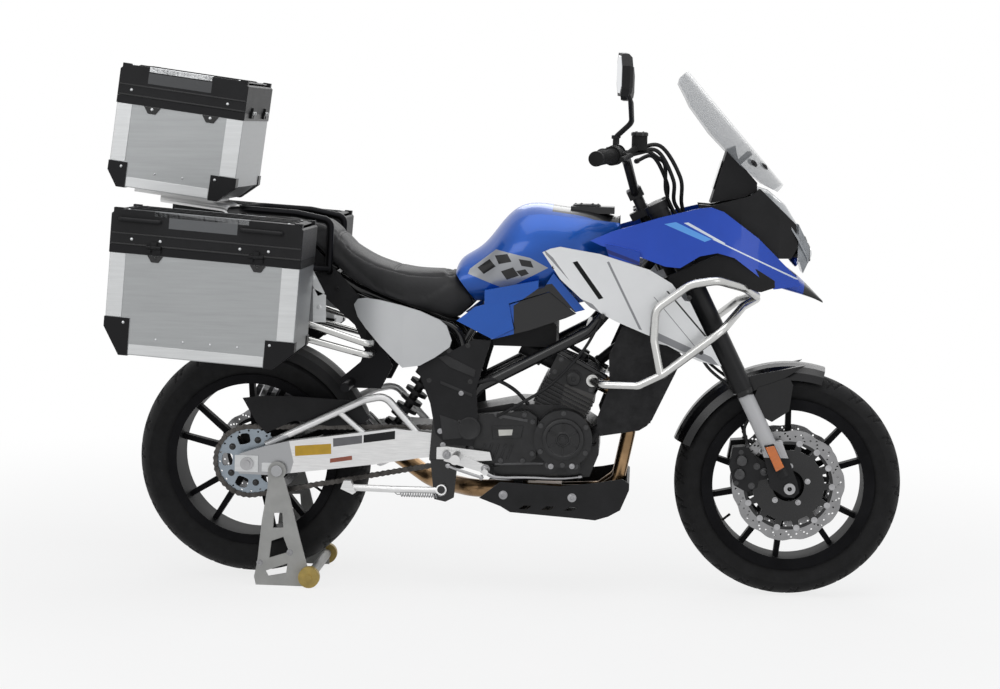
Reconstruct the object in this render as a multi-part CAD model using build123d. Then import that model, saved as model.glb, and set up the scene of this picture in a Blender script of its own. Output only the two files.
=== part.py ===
from build123d import *
import os
from math import atan2, cos, degrees, radians, sin, sqrt, tan

os.makedirs("parts", exist_ok=True)

# Middleweight adventure motorcycle, millimetres.
# +X is forward, +Z is up, Z = 0 is the floor, Y = 0 is the wheels' middle plane.
# The chain, side stand and gear lever are on the -Y side.

# ---- driving dimensions ----------------------------------------------------
FRONT_X = 750.0            # front axle
REAR_X = -680.0            # rear axle
FRONT_TYRE_R = 300.0
FRONT_TYRE_W = 118.0
REAR_TYRE_R = 312.0
REAR_TYRE_W = 158.0
REAR_LIFT = 10.0           # rear tyre held off the floor by the paddock stand
BEAD_R = 218.0             # 17 inch rim
RIM_FLANGE_R = 228.0
FRONT_RIM_OPEN_R = 199.0
REAR_RIM_OPEN_R = 204.0
FIT = 0.3                  # seat clearance between pieces that touch
RUN = 0.05                 # running fit on axles and pins

RAKE = 27.0                # steering axis, degrees back from upright
YOKE_OFFSET = 40.0         # fork legs ahead of the steering axis
LEG_Y = 105.0              # fork leg from the middle plane
SLIDER_R = 20.5
OUTER_TUBE_R = 27.0
LOW_YOKE_Z, TOP_YOKE_Z = 836.0, 1008.0

SPINDLE_R = 10.0
ARM_IN_Y = 118.0           # swingarm, inner and outer faces
ARM_OUT_Y = 146.0
PIVOT_X, PIVOT_Z = -165.0, 388.0
CHAIN_Y = 98.0             # chain's middle plane, on the -Y side
REAR_PITCH_R = 92.0
FRONT_SPROCKET_X, FRONT_SPROCKET_Z = -45.0, 395.0
FRONT_PITCH_R = 38.0

FRONT_Z = FRONT_TYRE_R
REAR_Z = REAR_TYRE_R + REAR_LIFT
LENGTH_HALF = FRONT_X + FRONT_TYRE_R     # the luggage ends as far back as the tyre reaches forward

SLOPE = tan(radians(RAKE))


def leg_x(z):
    """X of the fork legs' line at a height."""
    return FRONT_X + (FRONT_Z - z) * SLOPE


def steer_x(z):
    """X of the steering axis at a height."""
    return leg_x(z) - YOKE_OFFSET / cos(radians(RAKE))


# ---- helpers ---------------------------------------------------------------
def save(node, *solids):
    shapes = [s for shape in solids for s in shape.solids()]
    export_step(Compound(children=shapes) if len(shapes) > 1 else shapes[0], f"parts/{node}.step")


def side_face(outline, y=0.0):
    """Face in the plane Y = y from an (x, z) outline."""
    return Plane(origin=(0, y, 0), x_dir=(1, 0, 0), z_dir=(0, -1, 0)) * Polygon(*outline, align=None)


def slab(outline, y0, y1):
    """Side outline (x, z) extruded from y0 to y1."""
    return extrude(side_face(outline, max(y0, y1)), abs(y1 - y0), dir=(0, -1, 0))


def deck(outline, z0, z1):
    """Plan outline (x, y) extruded from z0 to z1."""
    return extrude(Plane(origin=(0, 0, z0)) * Polygon(*outline, align=None), z1 - z0, dir=(0, 0, 1))


def front(outline, x0, x1):
    """Front outline (y, z) extruded from x0 to x1."""
    plane = Plane(origin=(x0, 0, 0), x_dir=(0, 1, 0), z_dir=(1, 0, 0))
    return extrude(plane * Polygon(*outline, align=None), x1 - x0, dir=(1, 0, 0))


def tube(points, radius, bends):
    path = FilletPolyline(*points, radius=bends) if len(points) > 2 else Line(*points)
    return sweep(Plane(path @ 0, z_dir=path % 0) * Circle(radius), path=path)


def bar(p0, p1, radius):
    start, end = Vector(*p0), Vector(*p1)
    return extrude(Plane(start, z_dir=end - start) * Circle(radius), (end - start).length)


def pin(x, z, radius, y0, y1):
    """Round bar along Y."""
    return bar((x, min(y0, y1), z), (x, max(y0, y1), z), radius)


def box(x0, x1, y0, y1, z0, z1):
    return Pos((x0 + x1) / 2, (y0 + y1) / 2, (z0 + z1) / 2) * Box(abs(x1 - x0), abs(y1 - y0), abs(z1 - z0))


def flip(shape):
    return mirror(shape, about=Plane.XZ)


def both(shape):
    """The shape and its mirror image across the middle plane."""
    return [shape, flip(shape)]


def turned(profile):
    """Solid of revolution about Y from a (radius, y) outline."""
    return revolve(Polygon(*profile, align=None), axis=Axis.Y)


def arc_line(points):
    """Smooth plane curve of arcs, each through three of an odd number of points."""
    curve = None
    for start, middle, end in zip(points[0:-2:2], points[1:-1:2], points[2::2]):
        piece = ThreePointArc(start, middle, end)
        curve = piece if curve is None else curve + piece
    return curve


def skin(outline, plan, thick, lean=0.0, level=0.0):
    """Left body panel: side outline (x, z) cut from a curved sheet whose outer face follows plan (x, y).

    The sheet stands as drawn at Z = level and leans inward by lean per millimetre above it.
    """
    low = min(z for _, z in outline) - 1
    high = max(z for _, z in outline) + 1
    shift = lean * (low - level)
    outer = [(x, y + shift) for x, y in plan]
    inner = [(x, y + thick) for x, y in reversed(outer)]
    edge = arc_line(outer) + Line(outer[-1], inner[0]) + arc_line(inner) + Line(inner[-1], outer[0])
    rise = high - low
    sheet = extrude(Plane(origin=(0, 0, low)) * make_face(edge), rise * sqrt(1 + lean ** 2), dir=(0, lean, 1))
    return sheet & slab(outline, -400, -1)


def outboard(plan, depth, lean=0.0, level=0.0, low=500, high=1200):
    """Everything on the left of a skin's outer face, measured depth inward from it."""
    return skin([(plan[0][0], low), (plan[-1][0], low), (plan[-1][0], high), (plan[0][0], high)],
                [(x, y - 200) for x, y in plan], 200 + depth, lean, level)


def across(x, bottom, waist, shoulder, crown):
    """Cross-section in the plane X = x: (half width, z) at bottom, waist and shoulder, and the crown's z."""
    left = [(-w, z) for w, z in (bottom, waist, shoulder)]
    wire = Line((bottom[0], bottom[1]), left[0]) + ThreePointArc(*left)
    wire += ThreePointArc(left[2], (0, crown), shoulder) + ThreePointArc(shoulder, waist, bottom)
    return Plane(origin=(x, 0, 0), x_dir=(0, 1, 0), z_dir=(1, 0, 0)) * make_face(wire)


def hull(stations, extra=0.0):
    """Smooth body through cross-sections, grown sideways and upward by extra."""
    faces = []
    for x, low_z, low_w, waist_z, waist_w, high_z, high_w, crown in stations:
        faces.append(across(x, (low_w + extra, low_z), (waist_w + extra, waist_z),
                            (high_w + extra, high_z + extra), crown + extra))
    return loft(faces)


def sector(profile, x, z, start, end):
    """Part turn about an axle at (x, z) of a (radius, y) outline, between two angles up from +X."""
    turn = revolve(Polygon(*profile, align=None), axis=Axis.Y, revolution_arc=start - end)
    return Pos(x, 0, z) * Rot(0, -start, 0) * turn


def polar(radius, angle, x=0.0, z=0.0):
    return (x + radius * cos(radians(angle)), z + radius * sin(radians(angle)))


# ---- wheels ----------------------------------------------------------------
def tyre(outer_r, width):
    half = width / 2
    bead = half * 0.80 - 4
    shoulder = outer_r - 32
    return turned([(BEAD_R + FIT, -bead), (BEAD_R + FIT, bead), (shoulder, half), (outer_r, 0), (shoulder, -half)])


def spokes(open_r, first_angle, half_gap, half_depth):
    """Five V pairs of flat spokes between hub and rim."""
    made = []
    for pair in range(5):
        for side in (-1, 1):
            outer = first_angle + 72 * pair + side * half_gap
            inner = first_angle + 72 * pair + side * half_gap * 0.75
            near, far = polar(30, inner), polar(open_r + 2, outer)
            run = atan2(far[1] - near[1], far[0] - near[0])
            aside = (-sin(run), cos(run))
            outline = [
                (near[0] + 9 * aside[0], near[1] + 9 * aside[1]),
                (far[0] + 7 * aside[0], far[1] + 7 * aside[1]),
                (far[0] - 7 * aside[0], far[1] - 7 * aside[1]),
                (near[0] - 9 * aside[0], near[1] - 9 * aside[1]),
            ]
            made.append(slab(outline, -half_depth, half_depth))
    return made


def rim(tyre_w, open_r, first_angle, half_gap, hub_left, hub_right):
    """Cast wheel: barrel with two flanges, spokes and a bored hub."""
    bead = tyre_w / 2 * 0.80 + FIT
    edge = bead + 6
    barrel = turned([
        (open_r, -edge), (RIM_FLANGE_R, -edge), (RIM_FLANGE_R, -bead), (BEAD_R, -bead),
        (BEAD_R, bead), (RIM_FLANGE_R, bead), (RIM_FLANGE_R, edge), (open_r, edge),
    ])
    hub = pin(0, 0, 40, -46, 46) + pin(0, 0, 34, hub_left, hub_right)
    wheel = barrel + hub
    for spoke in spokes(open_r, first_angle, half_gap, 15):
        wheel += spoke
    return wheel - pin(0, 0, SPINDLE_R + RUN, -200, 200)


def disc(y0, y1, outer_r, inner_r, arms):
    """Wave brake disc: lobed ring, arms and a bored carrier."""
    lobes = 10
    wave = []
    for lobe in range(lobes):
        for part, radius in ((0.0, outer_r), (0.34, outer_r), (0.52, outer_r - 5), (0.82, outer_r - 5)):
            wave.append(polar(radius, 360 / lobes * (lobe + part)))
    ring = slab(wave, y0, y1) - pin(0, 0, inner_r, y0, y1)
    made = ring + (pin(0, 0, 46, y0, y1) - pin(0, 0, 22, y0, y1))
    for arm in range(arms):
        start, end = polar(36, 360 / arms * arm), polar(inner_r + 5, 360 / arms * arm + 12)
        run = atan2(end[1] - start[1], end[0] - start[0])
        aside = (-6 * sin(run), 6 * cos(run))
        made += slab([
            (start[0] + aside[0], start[1] + aside[1]), (end[0] + aside[0], end[1] + aside[1]),
            (end[0] - aside[0], end[1] - aside[1]), (start[0] - aside[0], start[1] - aside[1]),
        ], y0, y1)
    return made


SPROCKET_T = 6.0
TEETH = 36


def sprocket(pitch_r, teeth, hole_r):
    step = 360 / teeth
    outline = []
    for tooth in range(teeth):
        for part, radius in ((0.0, pitch_r - 4), (0.3, pitch_r - 4), (0.45, pitch_r + 3), (0.85, pitch_r + 3)):
            outline.append(polar(radius, (tooth + part) * step))
    plate = slab(outline, -SPROCKET_T / 2, SPROCKET_T / 2)
    return plate - pin(0, 0, hole_r, -20, 20)


FRONT_DISC_R, REAR_DISC_R = 148.5, 120.0
DISC_T = 5.0
FRONT_HUB = 61.5           # hub face that carries each front disc
REAR_HUB = 89.5


def make_wheels():
    place = Pos(FRONT_X, 0, FRONT_Z)
    save("front_tyre", place * tyre(FRONT_TYRE_R, FRONT_TYRE_W))
    save("front_rim", place * rim(FRONT_TYRE_W, FRONT_RIM_OPEN_R, 33, 14.3, -FRONT_HUB, FRONT_HUB))
    discs = both(disc(-FRONT_HUB - DISC_T, -FRONT_HUB, FRONT_DISC_R, 117, 10))
    save("front_discs", *[place * d for d in discs])

    place = Pos(REAR_X, 0, REAR_Z)
    save("rear_tyre", place * tyre(REAR_TYRE_R, REAR_TYRE_W))
    hub_left = -(CHAIN_Y - SPROCKET_T / 2)
    save("rear_rim", place * rim(REAR_TYRE_W, REAR_RIM_OPEN_R, 153, 13, hub_left, REAR_HUB))
    ring = Pos(0, -CHAIN_Y, 0) * sprocket(REAR_PITCH_R, TEETH, 22)
    for window in range(5):
        a = 72 * window + 20
        ring -= slab([polar(48, a), polar(70, a - 6), polar(70, a + 34), polar(48, a + 28)],
                     -CHAIN_Y - 10, -CHAIN_Y + 10)
    rear_disc = disc(REAR_HUB, REAR_HUB + DISC_T, REAR_DISC_R, 96, 6)
    save("rear_disc_and_sprocket", place * ring, place * rear_disc)


# ---- chain -----------------------------------------------------------------
CHAIN_W = 18.0
CHAIN_PLATE_R = 7.5        # half height of the link plates
CHAIN_WEB = 4.2            # rollers' outer side from the pitch line
TOOTH_GAP = 1.0            # between the sprocket and the links


def track(offset, swell, parts):
    """Points round both sprockets at an offset from the pitch line, every second one swollen outward."""
    gap_x, gap_z = FRONT_SPROCKET_X - REAR_X, FRONT_SPROCKET_Z - REAR_Z
    gap = sqrt(gap_x ** 2 + gap_z ** 2)
    lean = degrees(atan2(gap_z, gap_x))
    run = sqrt(gap ** 2 - (REAR_PITCH_R - FRONT_PITCH_R) ** 2)
    spread = degrees(atan2(run, REAR_PITCH_R - FRONT_PITCH_R))
    nose = radians(2 * spread) * FRONT_PITCH_R
    tail = radians(360 - 2 * spread) * REAR_PITCH_R
    length = 2 * run + nose + tail
    points = []
    for part in range(parts):
        along_it = length * part / parts
        r = offset + swell * (part % 2)
        if along_it < run:
            share = along_it / run
            x0, z0 = polar(REAR_PITCH_R + r, lean + spread, REAR_X, REAR_Z)
            x1, z1 = polar(FRONT_PITCH_R + r, lean + spread, FRONT_SPROCKET_X, FRONT_SPROCKET_Z)
        elif along_it < run + nose:
            turn = lean + spread - degrees((along_it - run) / FRONT_PITCH_R)
            share, (x0, z0) = 0, polar(FRONT_PITCH_R + r, turn, FRONT_SPROCKET_X, FRONT_SPROCKET_Z)
            x1, z1 = x0, z0
        elif along_it < 2 * run + nose:
            share = (along_it - run - nose) / run
            x0, z0 = polar(FRONT_PITCH_R + r, lean - spread, FRONT_SPROCKET_X, FRONT_SPROCKET_Z)
            x1, z1 = polar(REAR_PITCH_R + r, lean - spread, REAR_X, REAR_Z)
        else:
            turn = lean - spread - degrees((along_it - 2 * run - nose) / REAR_PITCH_R)
            share, (x0, z0) = 0, polar(REAR_PITCH_R + r, turn, REAR_X, REAR_Z)
            x1, z1 = x0, z0
        points.append((x0 + (x1 - x0) * share, z0 + (z1 - z0) * share))
    return points


CHAIN_PARTS = 80           # straight runs of the band, which stand for its links


def chain_band(outer, inner, y0, y1, swell=0.0, parts=CHAIN_PARTS):
    """Closed band round the sprockets between two offsets from the pitch line."""
    return slab(track(outer, swell, parts), y0, y1) - slab(track(inner, -swell, parts), y0 - 1, y1 + 1)


def make_chain():
    band = chain_band(CHAIN_PLATE_R - 2, 2 - CHAIN_PLATE_R, -CHAIN_Y - CHAIN_W / 2, -CHAIN_Y + CHAIN_W / 2, 2.0)
    half_slot = SPROCKET_T / 2 + TOOTH_GAP
    band -= chain_band(CHAIN_WEB, -CHAIN_PLATE_R - 1, -CHAIN_Y - half_slot, -CHAIN_Y + half_slot)
    save("drive_chain", band)


# ---- swingarm, axles -------------------------------------------------------
SPOOL_X, SPOOL_Z = -598.0, 307.0
SPOOL_R = 8.0


def make_swingarm():
    beam = slab([
        (-714, 316), (-708, 338), (-698, 348), (-634, 369), (-575, 384), (-395, 412), (-289, 427),
        (-262, 425), (-150, 416), (-132, 402), (-132, 372), (-150, 360), (-221, 352), (-340, 331),
        (-459, 314), (-571, 299), (-592, 292), (-700, 294),
    ], -ARM_OUT_Y, -ARM_IN_Y)
    mid_y = -(ARM_IN_Y + ARM_OUT_Y) / 2
    beam += tube([(-632, mid_y, 372), (-372, mid_y, 500), (-318, mid_y, 512), (-222, mid_y, 408)], 10, [60, 40])
    beam += bar((-440, mid_y, 466), (-366, mid_y, 405), 8)
    beam += pin(SPOOL_X, SPOOL_Z, SPOOL_R, -ARM_OUT_Y - 16, -ARM_OUT_Y)
    beam += pin(SPOOL_X, SPOOL_Z, SPOOL_R + 7, -ARM_OUT_Y - 19, -ARM_OUT_Y - 16)
    arm = beam + flip(beam)
    arm += pin(PIVOT_X, PIVOT_Z, 21, -ARM_IN_Y, ARM_IN_Y)
    arm += box(-332, -300, -ARM_IN_Y, ARM_IN_Y, 350, 392)
    arm -= pin(REAR_X, REAR_Z, SPINDLE_R + FIT, -200, 200)
    arm -= pin(PIVOT_X, PIVOT_Z, 10 + FIT, -200, 200)
    save("swingarm", arm)
    axle = pin(REAR_X, REAR_Z, SPINDLE_R, -ARM_OUT_Y - 14, ARM_OUT_Y + 10)
    axle += pin(REAR_X, REAR_Z, 17, -ARM_OUT_Y - 10, -ARM_OUT_Y)
    axle += pin(REAR_X, REAR_Z, 17, ARM_OUT_Y, ARM_OUT_Y + 10)
    hub_left = -(CHAIN_Y + SPROCKET_T / 2)
    spacer_in = -(CHAIN_Y + CHAIN_W / 2 + 2)
    axle += pin(REAR_X, REAR_Z, 15, -ARM_IN_Y + FIT, spacer_in)
    axle += pin(REAR_X, REAR_Z, 15, hub_left - FIT, spacer_in)
    axle += pin(REAR_X, REAR_Z, 15, REAR_HUB + DISC_T + FIT, ARM_IN_Y - FIT)
    save("rear_axle", axle)


def make_rear_caliper():
    rotor_r = REAR_DISC_R + 6
    block = slab([polar(82, 38, REAR_X, REAR_Z), polar(134, 34, REAR_X, REAR_Z), polar(139, 51, REAR_X, REAR_Z),
                  polar(138, 68, REAR_X, REAR_Z), polar(82, 72, REAR_X, REAR_Z)], REAR_HUB - 12, REAR_HUB + 17)
    block -= pin(REAR_X, REAR_Z, rotor_r, REAR_HUB - 3, REAR_HUB + DISC_T + 3)
    lug = slab([(-640, 400), (-590, 400), (-585, 345), (-630, 335)], REAR_HUB + 12, ARM_IN_Y - FIT)
    save("rear_caliper", block + lug)


# ---- frame -----------------------------------------------------------------
SPAR_Y = 134.0
SPAR_R = 15.0
HEAD_LOW_Z, HEAD_TOP_Z = LOW_YOKE_Z + 32, TOP_YOKE_Z - 23     # head tube between the yokes
HEAD_R = 32.0
STEM_R = 15.0
RAIL_Y = 96.0              # rear rails under the seat
TANK_REST_X, TANK_REST_Z = -60.0, 756.0    # cross tube under the tank's rear end
TAIL_TUBE_X, TAIL_TUBE_Z = -596.0, 903.0   # cross tube at the rear rails' ends
ENGINE_BOLT_X, ENGINE_BOLT_Z = -118.0, 462.0
SHOCK_TOP_X, SHOCK_TOP_Z = -180.0, 640.0   # cross tube over the rear shock


def spar(extra=0.0):
    """Left main tube from the head down to the swingarm pivot."""
    return tube([
        (388, -20, 905), (300, -110, 800), (216, -SPAR_Y, 700), (-70, -SPAR_Y, 545),
        (-128, -SPAR_Y, 470), (-150, -SPAR_Y, 425),
    ], SPAR_R + extra, [60, 60, 60, 60])


def pivot_link(extra=0.0):
    """Left inner plate between main tube and pivot plate."""
    return slab([(-196, 640), (-184, 655), (-160, 652), (-104, 500), (-100, 438), (-150, 440), (-188, 468)],
                -ARM_OUT_Y - 2 - extra, -SPAR_Y - 8 + extra)


def make_frame():
    frame = bar((steer_x(HEAD_LOW_Z), 0, HEAD_LOW_Z), (steer_x(HEAD_TOP_Z), 0, HEAD_TOP_Z), HEAD_R)
    plate = slab([(-188, 468), (-104, 500), (-98, 440), (-104, 330), (-170, 318), (-196, 350)],
                 -ARM_OUT_Y - 8, -ARM_OUT_Y - 2)
    brace_y = BLOCK_Y + 7 + FIT
    brace = bar((132, -SPAR_Y + 2, 648), (262, -brace_y, 578), 7)
    for piece in (spar(), plate, pivot_link(), brace):
        frame += piece + flip(piece)
    frame += pin(SHOCK_TOP_X, SHOCK_TOP_Z, 12, -ARM_OUT_Y, ARM_OUT_Y)
    frame += pin(216, 705, 12, -SPAR_Y, SPAR_Y)
    frame += pin(ENGINE_BOLT_X, ENGINE_BOLT_Z, 8, -ARM_OUT_Y, ARM_OUT_Y)
    frame += pin(PIVOT_X, PIVOT_Z, 10, -ARM_OUT_Y - 2, ARM_OUT_Y + 2)
    frame += side_stand_bracket()
    frame -= bar((steer_x(HEAD_LOW_Z - 20), 0, HEAD_LOW_Z - 20),
                 (steer_x(HEAD_TOP_Z + 20), 0, HEAD_TOP_Z + 20), STEM_R + RUN)
    save("main_frame", frame)


def make_subframe():
    """Bolted tubes that carry the seat and the luggage."""
    rail = tube([(-84, -SPAR_Y, 530), (-130, -RAIL_Y, 690), (-400, -RAIL_Y, 790), (-600, -RAIL_Y, 905)],
                12, [60, 200])
    stay = bar((-108, -SPAR_Y, 498), (-455, -RAIL_Y, 815), 10)
    riser = bar((-118, -RAIL_Y - 4, 650), (TANK_REST_X, -RAIL_Y, TANK_REST_Z), 9)
    half = rail + stay + riser - spar(FIT) - pivot_link(FIT)
    subframe = half + flip(half)
    subframe += pin(-470, 823, 12, -RAIL_Y, RAIL_Y)
    subframe += pin(TANK_REST_X, TANK_REST_Z, 10, -RAIL_Y, RAIL_Y)
    subframe += pin(TAIL_TUBE_X, TAIL_TUBE_Z, 10, -RAIL_Y, RAIL_Y)
    subframe -= pin(SHOCK_TOP_X, SHOCK_TOP_Z, 12 + FIT, -ARM_OUT_Y, ARM_OUT_Y)
    save("rear_subframe", subframe)


# ---- engine and what hangs round it ----------------------------------------
BLOCK_Y = 112.0            # crankcase and cylinder half width
COVER_Y = 150.0
ROUND_X, ROUND_Z, ROUND_R = 155.0, 417.0, 76.0   # round generator cover
CYL_LEAN = 25.0            # cylinders, degrees forward from upright
CYL_FOOT_X, CYL_FOOT_Z = 130.0, 462.0
CYL_W = 132.0
CLUTCH_X, CLUTCH_Z, CLUTCH_R = 90.0, 410.0, 82.0
CLUTCH_Y = COVER_Y + 10
BOLT_HEAD, BOLT_HEAD_R = 4.0, 5.5
# (x, z) of the left cover's bolts
COVER_BOLTS = ((-80, 460), (-10, 470), (52, 476), (74, 458), (74, 374), (50, 354), (-8, 353), (-54, 354),
               (-86, 382), (-88, 428))


def on_cylinder(forward, y, up):
    """Point given along the leaning cylinder block."""
    lean = radians(CYL_LEAN)
    return (CYL_FOOT_X + forward * cos(lean) + up * sin(lean), y,
            CYL_FOOT_Z - forward * sin(lean) + up * cos(lean))


def make_engine():
    case = slab([(20, 500), (150, 500), (248, 440), (248, 372), (225, 312), (-20, 300), (-30, 330), (20, 340)],
                -BLOCK_Y, BLOCK_Y)
    case += slab([(-112, 470), (30, 500), (60, 440), (60, 310), (-40, 304), (-100, 345)], -78, BLOCK_Y - 12)
    cover = slab([(-88, 470), (60, 486), (84, 470), (84, 362), (60, 344), (-62, 344), (-96, 372)],
                 -COVER_Y + 6, -BLOCK_Y)
    case += cover
    case += pin(ROUND_X, ROUND_Z, ROUND_R, -COVER_Y - 14, -BLOCK_Y)
    case += pin(124, 345, 20, -COVER_Y, -BLOCK_Y) + pin(182, 345, 20, -COVER_Y, -BLOCK_Y)
    case += pin(CLUTCH_X, CLUTCH_Z, CLUTCH_R, BLOCK_Y, CLUTCH_Y)
    case += pin(-20, 395, 52, BLOCK_Y - 14, COVER_Y - 10)
    lean = Pos(CYL_FOOT_X, 0, CYL_FOOT_Z) * Rot(0, CYL_LEAN, 0)
    half = CYL_W / 2
    case += lean * box(-half, half, -BLOCK_Y + 8, BLOCK_Y - 8, -10, 108)
    for fin in range(7):
        level = 18 + 11 * fin
        case += lean * box(-half - 7, half + 7, -BLOCK_Y, BLOCK_Y, level, level + 4)
    case += lean * box(-half - 4, half - 6, -BLOCK_Y + 4, BLOCK_Y - 4, 104, 158)
    case += lean * Pos(-4, 0, 118) * Rot(90, 0, 0) * Cylinder(22, 2 * BLOCK_Y + 6)
    chain_room = chain_band(CHAIN_PLATE_R + 4, -60, -CHAIN_Y - CHAIN_W / 2 - 3, -CHAIN_Y + CHAIN_W / 2 + 3)
    case -= chain_room
    case += pin(FRONT_SPROCKET_X, FRONT_SPROCKET_Z, FRONT_PITCH_R - 9, -CHAIN_Y - CHAIN_W / 2 - 3.5, -78)
    half_tooth = SPROCKET_T / 2 + TOOTH_GAP - FIT
    case += pin(FRONT_SPROCKET_X, FRONT_SPROCKET_Z, FRONT_PITCH_R + CHAIN_WEB - 1.9,
                -CHAIN_Y - half_tooth, -CHAIN_Y + half_tooth)
    case += pin(ENGINE_BOLT_X, ENGINE_BOLT_Z, 20, -76, 76) + box(ENGINE_BOLT_X, -90, -76, 76, 446, 478)
    for x, z in COVER_BOLTS:
        case += pin(x, z, BOLT_HEAD_R, -COVER_Y + 6 - BOLT_HEAD, -COVER_Y + 6)
    for turn in range(30, 390, 60):
        x, z = polar(ROUND_R - 8, turn, ROUND_X, ROUND_Z)
        case += pin(x, z, BOLT_HEAD_R, -COVER_Y - 14 - BOLT_HEAD, -COVER_Y - 14)
    for turn in range(0, 360, 45):
        x, z = polar(CLUTCH_R - 8, turn, CLUTCH_X, CLUTCH_Z)
        case += pin(x, z, BOLT_HEAD_R, CLUTCH_Y, CLUTCH_Y + BOLT_HEAD)
    case += pin(ROUND_X, ROUND_Z, ROUND_R - 22, -COVER_Y - 20, -COVER_Y - 14)
    case -= pin(PIVOT_X, PIVOT_Z, 21 + 4, -BLOCK_Y, BLOCK_Y)
    case -= pin(ENGINE_BOLT_X, ENGINE_BOLT_Z, 8 + FIT, -200, 200)
    save("engine", case)


def make_airbox():
    """Intake box under the tank, with a throttle body down to each cylinder."""
    airbox = box(-40, 128, -90, 90, 650, 738)
    airbox -= slab([(-41, 739), (-41, 700), (-2, 739)], -91, 91)
    airbox -= slab([(129, 739), (129, 706), (96, 739)], -91, 91)
    for y in (-45, 45):
        airbox += bar(on_cylinder(-CYL_W / 2 - 4 - FIT, y, 131), on_cylinder(-165, y, 131), 24)
        airbox += bar(on_cylinder(-100, y, 131), on_cylinder(-112, y, 131), 30)
    save("airbox", airbox)


RAD_X, RAD_Z, RAD_LEAN = 345.0, 470.0, 14.0
COWL_Y = 157.0


def make_radiator():
    place = Pos(RAD_X, 0, RAD_Z) * Rot(0, RAD_LEAN, 0)
    core = place * box(0, 34, -128, 128, 0, 215)
    fan = place * Pos(-9, 0, 125) * Rot(0, 90, 0) * Cylinder(80, 18)
    cowl = slab([(460, 640), (448, 613), (385, 475), (372, 459), (352, 446), (251, 428), (240, 470),
                 (272, 560), (268, 640), (300, 716), (420, 700)], -COWL_Y - 5, -COWL_Y)
    tab = box(372, 392, -COWL_Y, -127, 560, 600)
    body = core + fan
    for piece in (cowl, tab):
        body += piece + flip(piece)
    save("radiator", body)


PIPE_R = 17.5
MUFFLER_R = 54.0


def make_exhaust():
    pipes = None
    for side in (-1, 1):
        port = on_cylinder(CYL_W / 2 - 6 + FIT, 48 * side, 131)
        below = on_cylinder(CYL_W / 2 + 46, 48 * side, 131)
        header = tube([port, below, (328, 52 * side, 440), (300, 48 * side, 296), (252, 30 * side, 262),
                       (120, 22 * side, 256)], PIPE_R, [30, 60, 36, 30])
        pipes = header if pipes is None else pipes + header
    pipes += box(60, 150, -44, 44, 234, 280)
    pipes += tube([(80, 0, 257), (-90, 20, 250), (-215, 160, 250), (-330, 206, 318), (-400, 208, 345)],
                  24, [90, 80, 80])
    muffler = bar((-345, 206, 326), (-700, 212, 458), MUFFLER_R)
    tip = bar((-700, 212, 458), (-722, 212.4, 466.2), 30)
    pipes += muffler + tip
    pipes -= bar((-660, 211, 443), (-740, 213, 473), 22)
    save("exhaust", pipes)


SKID_Y = 150.0
SKID_WALL = 4.0


def make_skid_plate():
    outer = slab([(-62, 252), (-8, 296), (150, 290), (254, 303), (312, 315), (331, 303), (331, 286), (309, 232),
                  (278, 214), (244, 203), (205, 206), (20, 217), (-6, 232)], -SKID_Y, SKID_Y)
    inner = slab([(-80, 262), (-80, 340), (320, 340), (325, 303), (325, 287), (305, 236),
                  (276, 219), (243, 208), (206, 211), (22, 222), (-4, 237), (-50, 260)],
                 -SKID_Y + SKID_WALL, SKID_Y - SKID_WALL)
    tray = outer - inner
    for x in (60, 120, 180):
        tray -= slab([(x - 18, 226), (x + 4, 226), (x + 18, 236), (x - 4, 236)], -SKID_Y - 1, SKID_Y + 1)
    tray -= box(-100, 14, -SKID_Y + SKID_WALL, SKID_Y - SKID_WALL, 200, 290)
    for y in (-70, 70):
        post = box(24, 48, y - 12, y + 12, 217, 320)
        tray += post - slab([(-20, 300 - FIT), (225, 312 - FIT), (225, 400), (-20, 400)], -SKID_Y, SKID_Y)
    save("skid_plate", tray)


def make_shock():
    low, top = (-316, 0, 392 + FIT), (-180, 0, 628 - FIT)
    axis = Vector(*top) - Vector(*low)
    axis = axis / axis.length

    def at(distance):
        point = Vector(*low) + axis * distance
        return (point.X, point.Y, point.Z)

    length = (Vector(*top) - Vector(*low)).length
    damper = bar(at(14), at(length - 14), 12)
    damper += bar(at(24), at(34), 34) + bar(at(length - 60), at(length - 50), 34)
    turns = 7
    pitch = (length - 94) / turns
    for turn in range(turns + 1):
        damper += bar(at(34 + pitch * turn - 5 * (turn > 0)), at(34 + pitch * turn + 5), 31)
    damper += box(-330, -302, -14, 14, 392 + FIT, 412)
    damper += box(-196, -168, -14, 14, 600, 628 - FIT)
    save("rear_shock", damper)


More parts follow.
